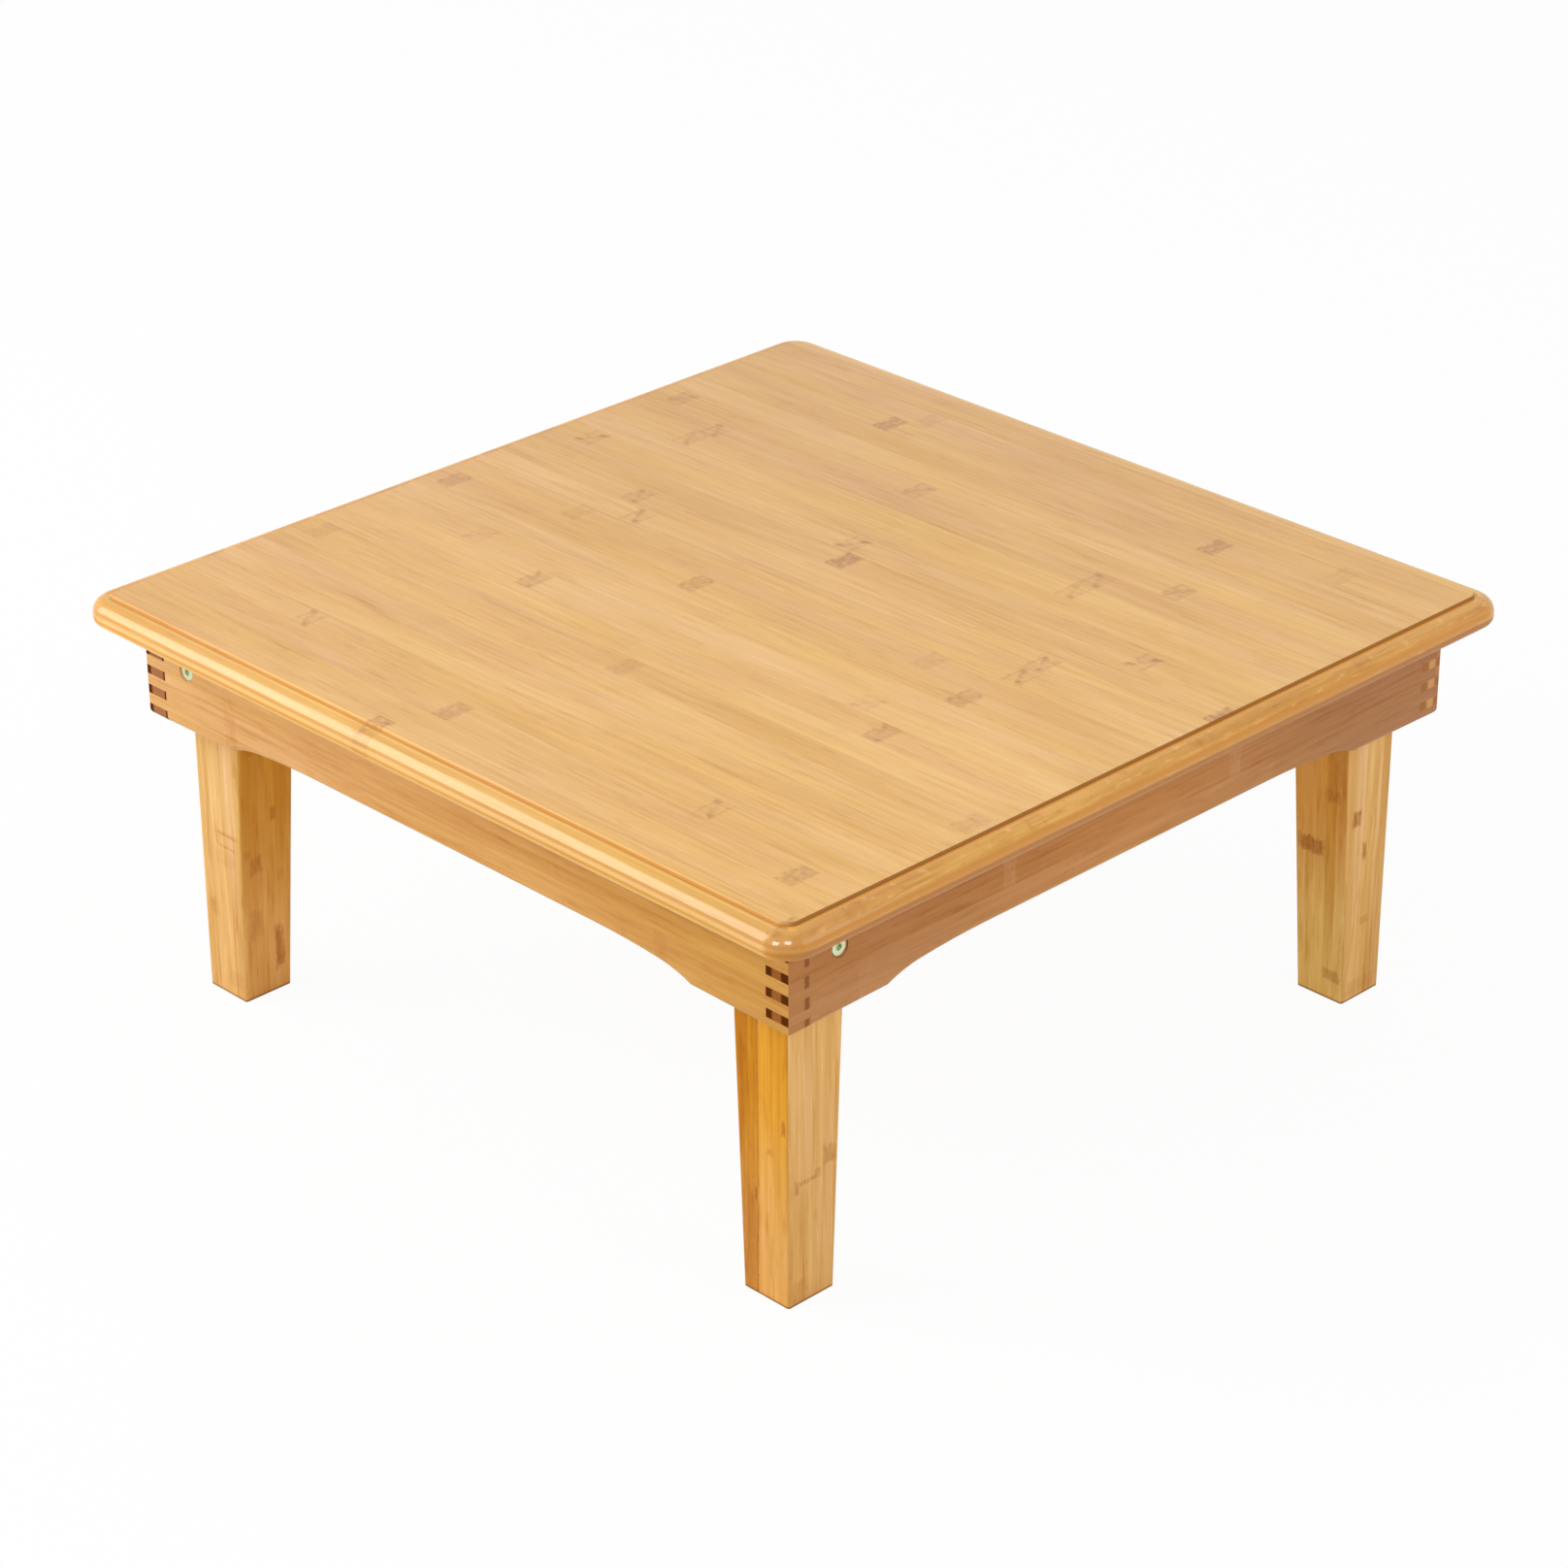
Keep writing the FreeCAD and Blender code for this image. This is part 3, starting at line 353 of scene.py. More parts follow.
# The marks of growth nodes on each leg, and one painted shadow: place across, height, half the width,
# half the height, strength; first those on the front and back faces, then those on the sides.
LEG_NODE_MARKS_AND_SHADOW = {
    "front_left": (
        ((-0.23, 0.1125, 0.01, 0.0013, 0.5), (-0.231, 0.104, 0.009, 0.0011, 0.32),
         (-0.2395, 0.1085, 0.001, 0.0045, 0.3), (-0.247, 0.058, 0.005, 0.006, 0.22),
         (-0.233, 0.095, 0.009, 0.005, 0.14), (-0.23, 0.012, 0.008, 0.006, 0.2)),
        ((-0.244, 0.093, 0.0045, 0.006, 0.48), (-0.23, 0.124, 0.002, 0.0045, 0.5),
         (-0.2505, 0.102, 0.0025, 0.003, 0.4), (-0.2445, 0.052, 0.005, 0.01, 0.32),
         # the last mark here is no node but painted shadow under the apron, on the front left leg's inner
         # side
         (-0.2275, 0.03, 0.0035, 0.014, 0.75), (-0.236, 0.18, 0.015, 0.011, 0.42))),
    "front_right": (
        ((0.2512, 0.114, 0.0014, 0.0048, 0.8), (0.241, 0.095, 0.0026, 0.0022, 0.4),
         (0.23, 0.064, 0.0012, 0.0042, 0.95), (0.2314, 0.1, 0.0009, 0.095, 0.55),
         (0.225, 0.03, 0.0065, 0.036, 0.35), (0.218, 0.15, 0.0012, 0.03, 0.25)),
        ((-0.2565, 0.113, 0.0014, 0.0052, 0.6), (-0.224, 0.0875, 0.005, 0.0058, 0.42),
         (-0.2405, 0.077, 0.009, 0.0014, 0.4), (-0.249, 0.0755, 0.0018, 0.0042, 0.5),
         (-0.233, 0.079, 0.003, 0.003, 0.3), (-0.248, 0.008, 0.006, 0.007, 0.3))),
    "back_right": (
        ((0.229, 0.103, 0.01, 0.0054, 0.78), (0.2455, 0.142, 0.006, 0.0045, 0.5),
         (0.247, 0.017, 0.0062, 0.004, 0.5), (0.248, 0.17, 0.0065, 0.025, 0.3)),
        ((0.225, 0.1265, 0.004, 0.0054, 0.9), (0.2335, 0.102, 0.002, 0.0062, 0.8),
         (0.237, 0.053, 0.004, 0.003, 0.3), (0.236, 0.008, 0.014, 0.005, 0.25))),
    "back_left": (
        ((-0.235, 0.12, 0.01, 0.005, 0.5), (-0.248, 0.04, 0.004, 0.005, 0.5)),
        ((0.23, 0.14, 0.006, 0.005, 0.6), (0.244, 0.07, 0.005, 0.005, 0.5))),
}
LEG_STRIP_WIDTH = 0.00775
LEG_STRIP_START = 0.0046
LEG_FOOT_ZONE = (0.03, 0.14)
ROW_REACH = 0.4
# Strips of the top's lower layer, seen at its left and right sides from the front to the back.
CROSS_STRIPS = [(-0.067 + 0.071 * i, 0.135 + 0.004 * (i % 3), 0.5) for i in range(20)]
CROSS_STRIPS_START = -0.3
CROSS_STRIP_WIDTH = 0.03
# The aprons' colours change over this length to each side of the middle.
APRON_REACH = 0.22

# Noises drawn out along the grain: changes in a metre along and across the strip, detail, roughness.
GRAIN = {
    "fine": (14.0, 1400.0, 3.0, 0.6),
    "broad": (9.0, 240.0, 2.0, 0.5),
    "streak": (20.0, 420.0, 2.0, 0.5),
    "smudge": (30.0, 140.0, 3.0, 0.6),
    "cloud": (6.0, 18.0, 2.0, 0.5),
    "warmth": (5.0, 30.0, 2.0, 0.5),
}
# What they add to the fibres' shade: the noise, two of its values, and the shades at them.
FIBRE_SHADES = (("fine", 0.5, 0.72, 0.0, -0.16), ("streak", 0.54, 0.68, 0.0, -0.34),
                ("streak", 0.32, 0.44, 0.24, 0.0), ("smudge", 0.56, 0.72, 0.0, -0.34))
CLOUD_SHARE = 1.3
# Where a glue line starts and is full, in strip widths from the strip's middle, and how dark it is.
GLUE_ZONE = (0.49, 0.498)
GLUE_SHARE = 0.12
FIBRE_RELIEF = 0.00003

# Bands round the top's edge: from and to, in metres below its surface, softness and strength.
UPPER_GLUE = (0.0074, 0.009, 0.0005, 0.55)
LOWER_GLUE = (0.0122, 0.0134, 0.0004, 0.55)
# painted highlight: a pale band between the glue lines at the front and back
PAINTED_HIGHLIGHT_BAND = (0.0094, 0.0118, 0.0004, 0.5)
AMBER_ROUND = (0.0062, 0.0104, 0.0012, 0.9)
# Changes down the edge: two depths, and the strengths at them.
# painted highlight: the lower round at the front and back is painted paler
PAINTED_HIGHLIGHT_LOWER_ROUND = (0.0136, 0.016, 0.0, 0.9)
AMBER_CORNER = (0.0035, 0.006, 0.0, 0.6)
# painted shade: the lower round at the left and right
PAINTED_SHADE_LOWER_ROUND = (0.0103, 0.0122, 0.0, 0.9)
# painted shade at the foot of the step, fading with depth
DARK_GROOVE = (0.0008, 0.0019, 0.0, 0.5)
# The depths between which the lacquer ends, and its share on the underside.
COAT_END = (0.01, 0.0125)
UNDERSIDE_COAT = 0.1
# Metres inwards from the step's riser: where the raised field's colour starts and is full.
FIELD_START = (-0.0004, 0.0006)
# Bands along the step, the same way: from and to, softness and strength.
# painted shade on the shelf at the foot of the front and back step, and in its groove
SHELF_SHADE = (-0.0019, -0.0002, 0.0006, 0.62)
GROOVE = (-0.0003, 0.0001, 0.0001, 1.0)
# painted highlight on the front and back arris
PAINTED_ARRIS_HIGHLIGHT = (0.0, 0.001, 0.0002, 0.1)
# painted light on the left and right shelf at the foot of the riser
PAINTED_LIGHT_FOOT = (-0.0022, 0.0, 0.0005, 1.0)
# painted shade on the left and right riser
PAINTED_SHADE_RISER = (-0.0001, 0.001, 0.0001, 0.9)
DULL_STEP = (-0.0004, 0.0012, 0.0002, 0.75)


def strip_rows(strips, seed):
    """The strips as table rows: node place, spacing, node strength and tone, and in a second table how
    far the node is filled. A strip that doesn't state its tone or fill gets seeded random ones.
    """
    chance = np.random.default_rng(seed).uniform(0.0, 1.0, (len(strips), 2)).tolist()
    full = [(*strip, *random[len(strip) - 3:]) for strip, random in zip(strips, chance)]
    first = [((place + ROW_REACH) / (2 * ROW_REACH), spacing, strength, tone)
             for place, spacing, strength, tone, fill in full]
    second = [(fill, 0.0, 0.0, 1.0) for place, spacing, strength, tone, fill in full]
    return first, second


def node_mark(recipe, along, within, index, fill, seed, node_length):
    """The mark of a growth node across its strip.

    In its own square, it has two dark spots at opposite sides, a faint diagonal between them and a faint
    line at each end; a filled one is a whole block. Noise pushes the square out of true.
    """
    spot_place, line_place, slope = 0.32, 0.36, 0.85
    push = recipe.join(recipe.times(along, 260.0), recipe.times(within, 4.5), recipe.add(index, seed))
    wander = recipe.noise(push, 1.0, 2.0, 0.55)
    other = recipe.noise(push, 1.7, 1.0, 0.5)
    u = recipe.add(recipe.over(along, node_length), recipe.times(recipe.take(wander, 0.5), 0.45))
    v = recipe.add(recipe.take(within, 0.5), recipe.times(recipe.take(other, 0.5), 0.25))
    sense = recipe.math("SIGN", recipe.take(recipe.chance(index, seed + 0.3), 0.5))
    slant = recipe.size(recipe.add(recipe.times(u, sense), recipe.times(v, slope)))
    side, reach = recipe.size(v), recipe.size(u)
    spot = recipe.times(recipe.fade(recipe.size(recipe.take(side, spot_place)), 0.02, 0.17, 1.0, 0.0),
                        recipe.fade(slant, 0.05, 0.26, 1.0, 0.0))
    diagonal = recipe.times(recipe.fade(slant, 0.02, 0.2, 0.45, 0.0),
                            recipe.fade(side, 0.3, 0.44, 1.0, 0.0))
    line = recipe.fade(recipe.size(recipe.take(reach, line_place)), 0.01, 0.12, 0.42, 0.0)
    line = recipe.times(line, recipe.fade(side, 0.38, 0.5, 1.0, 0.3))
    drawn = recipe.larger(spot, recipe.larger(diagonal, line))
    block = recipe.fade(reach, 0.34, 0.5, 0.9, 0.0)
    body = recipe.add(recipe.times(drawn, recipe.rest(fill)), recipe.times(block, fill))
    return recipe.times(body, recipe.fade(wander, 0.3, 0.62, 0.35, 1.0))


def bamboo_figure(recipe, along, across, depth, start, width, rows, seed, node_length=0.016):
    """The figure of bamboo strips laid side by side.

    A strip's number is how often the strip width goes into the distance across. In each strip, growth
    nodes come at an even spacing along it. Fibres, streaks and smudges are noise drawn out long along
    the strip. Returns each strip's tone, the fibres' shade, the warmth, the nodes, the glue lines and
    the finest fibres.
    """
    count = recipe.over(recipe.take(across, start), width)
    index = recipe.math("FLOOR", count)
    within = recipe.math("FRACT", count)
    place, spacing, strength, tone = recipe.table(rows[0], index)
    fill = recipe.table(rows[1], index)[0]
    node_at = recipe.take(recipe.times(place, 2 * ROW_REACH), ROW_REACH)
    offset = recipe.over(recipe.take(along, node_at), spacing)
    nearest = recipe.times(recipe.take(offset, recipe.math("ROUND", offset)), spacing)
    mark = recipe.times(node_mark(recipe, nearest, within, index, fill, seed, node_length), strength)
    own = recipe.add(recipe.times(index, 3.7), seed)
    grain = {}
    for kind, (by_length, by_width, detail, roughness) in GRAIN.items():
        spot = recipe.join(recipe.times(along, by_length), recipe.times(across, by_width),
                           recipe.add(recipe.times(depth, by_width), own))
        grain[kind] = recipe.noise(spot, 1.0, detail, roughness)
    fibre = recipe.add(recipe.take(grain["broad"], 0.5),
                       recipe.times(recipe.take(grain["cloud"], 0.5), CLOUD_SHARE))
    for kind, *run in FIBRE_SHADES:
        fibre = recipe.add(fibre, recipe.fade(grain[kind], *run))
    glue = recipe.fade(recipe.size(recipe.take(within, 0.5)), *GLUE_ZONE)
    return {"tone": tone, "fibre": fibre, "warmth": recipe.take(grain["warmth"], 0.5), "node": mark,
            "glue": glue, "fine": grain["fine"]}


def mixed(color, shares):
    """A colour with its red, green and blue scaled by shares, none above white."""
    return tuple(min(c * k, 1.0) for c, k in zip(color, shares))


def bamboo_color(recipe, figure, base, dark, tone_range, fibre_range, node_share, warmth_range=1.3):
    """Tone and fibres lighten or darken the base colour, then nodes and glue lines darken it."""
    level = recipe.add(1.0 - tone_range / 2, recipe.times(figure["tone"], tone_range))
    level = recipe.add(level, recipe.times(figure["fibre"], fibre_range))
    # darker bamboo is also deeper in colour: red follows the level less than green does, and blue more
    warmth = recipe.add(1.0, recipe.times(figure["warmth"], warmth_range))
    blue = recipe.times(recipe.math("POWER", level, 2.0), warmth)
    tint = recipe.node("ShaderNodeCombineColor")
    recipe.wire(tint, recipe.math("POWER", level, 0.6), level, blue)
    color = recipe.blend(1.0, base, tint.outputs[0], "MULTIPLY")
    color = recipe.blend(recipe.times(figure["node"], node_share), color, dark)
    return recipe.blend(recipe.times(figure["glue"], GLUE_SHARE), color, dark)


def lacquered(recipe, look, color, figure, coat, sheen):
    """Satin wood under a share of clear lacquer; the fibres stand out a little."""
    rough = recipe.add(look.roughness - 0.05, recipe.times(figure["fine"], 0.1))
    return recipe.finish(color, rough, figure["fine"], FIBRE_RELIEF, coat_weight=coat,
                         coat_roughness=look.coat_roughness, coat_ior=1.5, specular_ior_level=sheen)


def top_outline(recipe, x, y, half, radius):
    """For a square with round corners: how far in from it a point lies, and one at its corners."""
    beyond = [recipe.take(recipe.size(place), half - radius) for place in (x, y)]
    corners = recipe.fade(recipe.math("MINIMUM", *beyond), 0.0, radius / 4)
    reach = [recipe.larger(place, 0.0) for place in beyond]
    squares = recipe.add(*(recipe.times(place, place) for place in reach))
    return recipe.take(radius, recipe.math("SQRT", squares)), corners


def flecked(recipe, color, look, along, below):
    """Pale and brown flecks, as where a round-over cuts strips at a slant."""
    spot = recipe.join(recipe.times(along, 75.0), recipe.times(below, 420.0), 3.0)
    fleck = recipe.noise(spot, 1.0, 2.0, 0.6)
    pale = mixed(look.edge_end_color, (1.22, 1.30, 1.9))
    brown = mixed(look.edge_end_color, (0.86, 0.76, 0.60))
    color = recipe.blend(recipe.fade(fleck, 0.56, 0.70, 0.0, 0.75), color, pale)
    return recipe.blend(recipe.fade(fleck, 0.30, 0.43, 0.7, 0.0), color, brown)


def top_material(look, shape):
    """Two layers of strips, the upper along X and the lower along Y.

    The left and right sides cut the upper layer's strips across, and there the edge is deeper in colour.
    There the riser and the lower round are painted in shade; at the front and back the arris, a middle
    band and the lower round are painted in highlight. Two glue lines run round the edge.
    """
    recipe = Recipe(bpy.data.materials.new("lacquered_bamboo_top"))
    x, y, z = recipe.place()
    nx, ny, nz = recipe.facing()
    dark = look.top_node_color
    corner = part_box("tabletop")[1]
    below = recipe.take(corner.z, z)
    inset, at_corner = top_outline(recipe, x, y, corner.x, shape.corner_radius)
    across = recipe.times(nx, nx)
    ends = recipe.over(across, recipe.add(recipe.add(across, recipe.times(ny, ny)), 0.0001))
    # where the surface lies level, the nearer side decides
    nearer = recipe.fade(recipe.take(recipe.size(x), recipe.size(y)), -0.002, 0.002)
    level = recipe.fade(nz, 0.990, 0.999)
    ends = recipe.add(recipe.times(level, nearer), recipe.times(recipe.rest(level), ends))
    onward = recipe.rest(ends)

    def at_step(low, high, soft, strength):
        return recipe.band(inset, shape.step_inset + low, shape.step_inset + high, soft, strength)

    upper = bamboo_figure(recipe, x, y, z, TOP_STRIPS_START, look.strip_width,
                          strip_rows(TOP_STRIPS, seed=11), seed=2.0)
    # the near right corner is a little lighter and the far left one a little deeper
    toward = recipe.fade(recipe.take(x, recipe.times(y, 0.5)), -0.35, 0.42)
    field_base = recipe.blend(toward, mixed(look.top_color, (0.98, 0.94, 0.92)),
                              mixed(look.top_color, (1.12, 1.10, 1.03)))
    field = bamboo_color(recipe, upper, field_base, dark, tone_range=0.12, fibre_range=0.32,
                         node_share=0.80, warmth_range=1.0)
    # painted highlight: the level shelf of the front and back edge is painted lighter
    long_base = recipe.blend(level, look.edge_color, mixed(look.edge_color, (1.18, 1.22, 1.18)))
    long_edge = bamboo_color(recipe, upper, long_base, dark, tone_range=0.16, fibre_range=0.30,
                             node_share=0.55)
    cross = bamboo_figure(recipe, y, x, z, CROSS_STRIPS_START, CROSS_STRIP_WIDTH,
                          strip_rows(CROSS_STRIPS, seed=12), seed=5.0)
    cross_edge = bamboo_color(recipe, cross, look.edge_end_color, dark, tone_range=0.16,
                              fibre_range=0.55, node_share=0.5)
    edge = recipe.blend(ends, long_edge, flecked(recipe, cross_edge, look, y, below))
    glue = recipe.larger(recipe.band(below, *UPPER_GLUE), recipe.band(below, *LOWER_GLUE))
    glue = recipe.times(glue, recipe.take(0.6, recipe.times(ends, 0.3)))
    edge = recipe.blend(glue, edge, look.glue_line_and_shade_color)
    # painted highlight: a middle band and the lower round of the front and back edge are painted pale
    pale = recipe.larger(recipe.band(below, *PAINTED_HIGHLIGHT_BAND), recipe.fade(below, *PAINTED_HIGHLIGHT_LOWER_ROUND))
    edge = recipe.blend(recipe.times(pale, onward), edge, look.painted_highlight_color)
    # the round of the sides and of the corners is deeper in colour towards its foot
    amber = mixed(look.edge_end_color, (0.84, 0.68, 0.16))
    deep = recipe.times(ends, recipe.band(below, *AMBER_ROUND))
    corners = recipe.times(at_corner, recipe.fade(below, *AMBER_CORNER))
    edge = recipe.blend(recipe.larger(deep, corners), edge, amber)
    # painted shade: on the sides that show the strips' ends, the lower round is painted as brown as the
    # apron under it
    brown = recipe.times(ends, recipe.fade(below, *PAINTED_SHADE_LOWER_ROUND))
    edge = recipe.blend(brown, edge, look.dark_apron_color)
    field_start, field_full = (shape.step_inset + place for place in FIELD_START)
    color = recipe.blend(recipe.fade(inset, field_start, field_full), edge, field)
    # painted light on the step: at the front and back a painted highlight on the arris and painted shade
    # at its foot; at the sides painted light on the shelf at the riser's foot, and painted shade on the
    # riser
    foot = recipe.larger(at_step(*SHELF_SHADE),
                         recipe.times(at_step(*GROOVE), recipe.fade(below, *DARK_GROOVE)))
    light = mixed(look.edge_end_color, (1.30, 1.25, 1.25))
    for place, sides, shown in ((foot, onward, look.glue_line_and_shade_color),
                                (at_step(*PAINTED_ARRIS_HIGHLIGHT), onward, look.painted_highlight_color),
                                (at_step(*PAINTED_LIGHT_FOOT), ends, light),
                                (at_step(*PAINTED_SHADE_RISER), ends, look.riser_shade_color)):
        color = recipe.blend(recipe.times(place, sides), color, shown)
    coat = recipe.fade(below, *COAT_END, look.top_coat, UNDERSIDE_COAT)
    coat = recipe.times(coat, recipe.rest(at_step(*DULL_STEP)))
    sheen = recipe.fade(below, *COAT_END, 0.3, 0.1)
    return lacquered(recipe, look, color, upper, coat, sheen)


def finger_end_color(recipe, ends, inward):
    """A sawn finger end: a plain colour, and bands of another colour from one depth to another."""
    plain, bands = ends
    color = plain
    for low, high, soft, band_color in bands:
        color = recipe.blend(recipe.band(inward, low, high, soft), color, band_color)
    return color


def board_material(name, look, colors, runs_along, strips, seed, inner_end, ends, node_color):
    """A board whose strips lie one above the other.

    Its colour goes over three stops from one end to the other, and its finger ends have their own.
    """
    recipe = Recipe(bpy.data.materials.new(name))
    x, y, z = recipe.place()
    along, depth = (x, y) if runs_along == "X" else (y, x)
    end_normal = recipe.facing()["XY".index(runs_along)]
    start, width, rows = strips
    figure = bamboo_figure(recipe, along, z, depth, start, width, strip_rows(rows, seed), seed * 1.3,
                           node_length=0.011)
    base = recipe.blend(recipe.fade(along, -APRON_REACH, 0.0), colors[0], colors[1])
    base = recipe.blend(recipe.fade(along, 0.0, APRON_REACH), base, colors[2])
    color = bamboo_color(recipe, figure, base, node_color, tone_range=0.22, fibre_range=0.42,
                         node_share=0.5, warmth_range=0.5)
    end = recipe.fade(recipe.size(end_normal), 0.7, 0.9)
    inward = recipe.take(recipe.size(depth), inner_end)
    ragged = recipe.add(inward, recipe.times(recipe.take(figure["fine"], 0.5), 0.002))
    color = recipe.blend(end, color, finger_end_color(recipe, ends, ragged))
    coat = recipe.times(recipe.rest(end), look.frame_coat)
    return lacquered(recipe, look, color, figure, coat, sheen=recipe.times(recipe.rest(end), 0.15))


def blotches(recipe, across, up, marks, seed):
    """Soft rectangular marks, frayed by noise and streaked along the grain."""
    spot = recipe.join(recipe.times(across, 260.0), recipe.times(up, 160.0), seed)
    fray, push = (recipe.times(recipe.take(recipe.noise(spot, scale, 2.0, 0.6), 0.5), 1.3)
                  for scale in (1.0, 1.7))
    total = 0.0
    for middle, height, half_width, half_height, strength in marks:
        u = recipe.add(recipe.over(recipe.take(across, middle), half_width), fray)
        v = recipe.add(recipe.over(recipe.take(up, height), half_height), push)
        reach = recipe.larger(recipe.size(u), recipe.size(v))
        total = recipe.larger(total, recipe.fade(reach, 0.65, 1.25, strength, 0.0))
    upright = recipe.join(recipe.times(across, 900.0), recipe.times(up, 120.0), seed)
    grain = recipe.noise(upright, 1.0, 2.0, 0.5)
    return recipe.times(total, recipe.fade(grain, 0.35, 0.62, 0.5, 1.0))


def leg_tint(look, depth, lightness):
    """A leg's colour, from the pale one to the amber one by its depth, made lighter or darker, partly as
    painted light.
    """
    ends = zip(look.pale_leg_color, look.amber_leg_color)
    return mixed([pale + (amber - pale) * depth for pale, amber in ends], (lightness,) * 3)


def leg_material(name, look, corner_name, corner, seed):
    """A leg of strips that stand upright, with its own colours from top to foot and its own marks."""
    recipe = Recipe(bpy.data.materials.new(name))
    x, y, z = recipe.place()
    nx, ny, nz = recipe.facing()
    sideways = recipe.math("GREATER_THAN", recipe.size(nx), recipe.size(ny))
    onward = recipe.rest(sideways)
    strips = [(0.0, ROW_REACH, 0.0, tone, 0.0) for tone in LEG_TONES[corner_name]]
    half_way = LEG_STRIP_WIDTH * len(strips) / 2
    across = recipe.add(recipe.times(onward, recipe.take(x, corner[0])),
                        recipe.times(sideways, recipe.add(recipe.take(y, corner[1]), half_way)))
    inwards = recipe.add(recipe.times(sideways, x), recipe.times(onward, y))
    figure = bamboo_figure(recipe, z, across, inwards, 0.0, LEG_STRIP_WIDTH, strip_rows(strips, seed),
                           seed * 1.7, node_length=0.012)
    tints = [leg_tint(look, depth, light) for depth, light in LEG_DEPTH_AND_PAINTED_LIGHT[corner_name]]
    upper = recipe.fade(z, *LEG_FOOT_ZONE)
    base = recipe.blend(sideways, recipe.blend(upper, tints[1], tints[0]),
                        recipe.blend(upper, tints[3], tints[2]))
    color = bamboo_color(recipe, figure, base, look.node_color, tone_range=0.8, fibre_range=0.46,
                         node_share=0.0, warmth_range=0.7)
    across_marks, side_marks = LEG_NODE_MARKS_AND_SHADOW[corner_name]
    marks = recipe.add(recipe.times(blotches(recipe, x, z, across_marks, seed), onward),
                       recipe.times(blotches(recipe, y, z, side_marks, seed + 0.5), sideways))
    # the node marks, with one painted shadow under the apron among them
    color = recipe.blend(marks, color, look.node_color)
    end = recipe.fade(recipe.size(nz), 0.9, 0.97)
    # the lowest two millimetres of each face darken to the end grain's colour
    foot = recipe.fade(z, 0.0004, 0.0020, 0.7, 0.0)
    color = recipe.blend(recipe.larger(end, foot), color, look.burnt_color)
    return lacquered(recipe, look, color, figure, look.frame_coat / 2, sheen=0.04)


def plated_material(name, color):
    """Zinc-plated steel: fine tool marks and cloudy passivation."""
    recipe = Recipe(bpy.data.materials.new(name))
    spot = recipe.coordinates("Object")
    cloud = recipe.noise(spot, 500.0, 3.0, 0.6)
    fine = recipe.noise(spot, 6000.0, 2.0, 0.5)
    warm = mixed(color, (1.0, 0.93, 0.72))
    tint = recipe.blend(recipe.fade(cloud, 0.35, 0.7), color, warm)
    rough = recipe.add(0.22, recipe.times(cloud, 0.2))
    return recipe.finish(tint, rough, fine, 0.00002, metallic=1.0)


def nylon_material(name, color):
    """Moulded nylon: faintly mottled and waxy."""
    recipe = Recipe(bpy.data.materials.new(name))
    mottle = recipe.noise(recipe.coordinates("Object"), 900.0, 3.0, 0.6)
    darker = mixed(color, (0.88, 0.88, 0.88))
    tint = recipe.blend(recipe.fade(mottle, 0.35, 0.65), color, darker)
    rough = recipe.add(0.4, recipe.times(mottle, 0.15))
    return recipe.finish(tint, rough, mottle, 0.00003, subsurface_weight=0.1, subsurface_scale=0.002)


# ---- shapes ----

def arc(centre, radius, start, end, steps):
    """Points on a circle round the centre, from one angle to another in degrees."""
    turn = np.radians(np.linspace(start, end, steps + 1))
    return np.stack([centre[0] + radius * np.cos(turn), centre[1] + radius * np.sin(turn)], axis=1)


def rounded_square_ring(half, radius, corner_steps):
    """Points round a square with round corners, against the clock as seen from above.

    Each corner is a quarter circle about the point that lies one radius in from both sides. half and
    radius are arrays, one entry for each ring; the result has a ring in each row.
    """
    turn = np.linspace(0.0, math.pi / 2, corner_steps + 1)
    inner = half - radius
    x = inner[:, None] + radius[:, None] * np.cos(turn)
    y = inner[:, None] + radius[:, None] * np.sin(turn)
    quarters_x = [x, -y, -x, y]
    quarters_y = [y, x, -y, -x]
    return np.concatenate(quarters_x, axis=1), np.concatenate(quarters_y, axis=1)


def grid_faces(rows, columns):
    """The four-sided faces of a grid whose columns close round."""
    r, c = np.meshgrid(np.arange(rows - 1), np.arange(columns), indexing="ij")
    following = (c + 1) % columns
    quads = np.stack([r * columns + c, r * columns + following,
                      (r + 1) * columns + following, (r + 1) * columns + c], axis=-1)
    return quads.reshape(-1, 4)


def add_piece(name, points, faces, body, material, replaced):
    """Puts a finished surface into the scene, riding on its body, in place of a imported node."""
    mesh = bpy.data.meshes.new(name)
    mesh.from_pydata(points.tolist(), [], [list(face) for face in faces])
    mesh.polygons.foreach_set("use_smooth", np.ones(len(mesh.polygons), bool))
    mesh.update()
    piece = bpy.data.objects.new(name, mesh)
    bpy.context.scene.collection.objects.link(piece)
    piece.data.materials.append(material)
    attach(piece, body)
    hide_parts(replaced)


def top_profile(shape, height):
    """The edge seen in section, from below to above: how far in from the edge, and how high."""
    underside = height - shape.thickness
    shelf = height - shape.step_height
    low, high = shape.lower_round, shape.upper_round
    fillet, arris, inset = shape.groove_round, shape.arris, shape.step_inset
    margin = arris / 2
    parts = [
        np.array([[low + 8 * margin, underside], [low + margin, underside]]),
        arc((low, underside + low), low, 270, 180, steps=14),
        arc((high, shelf - high), high, 180, 90, steps=22),
        np.array([[high + margin, shelf], [inset - fillet - margin, shelf]]),
        arc((inset - fillet, shelf + fillet), fillet, 270, 360, steps=5),
        arc((inset + arris, height - arris), arris, 180, 90, steps=8),
        np.array([[inset + arris + margin, height]]),
    ]
    return np.concatenate(parts)


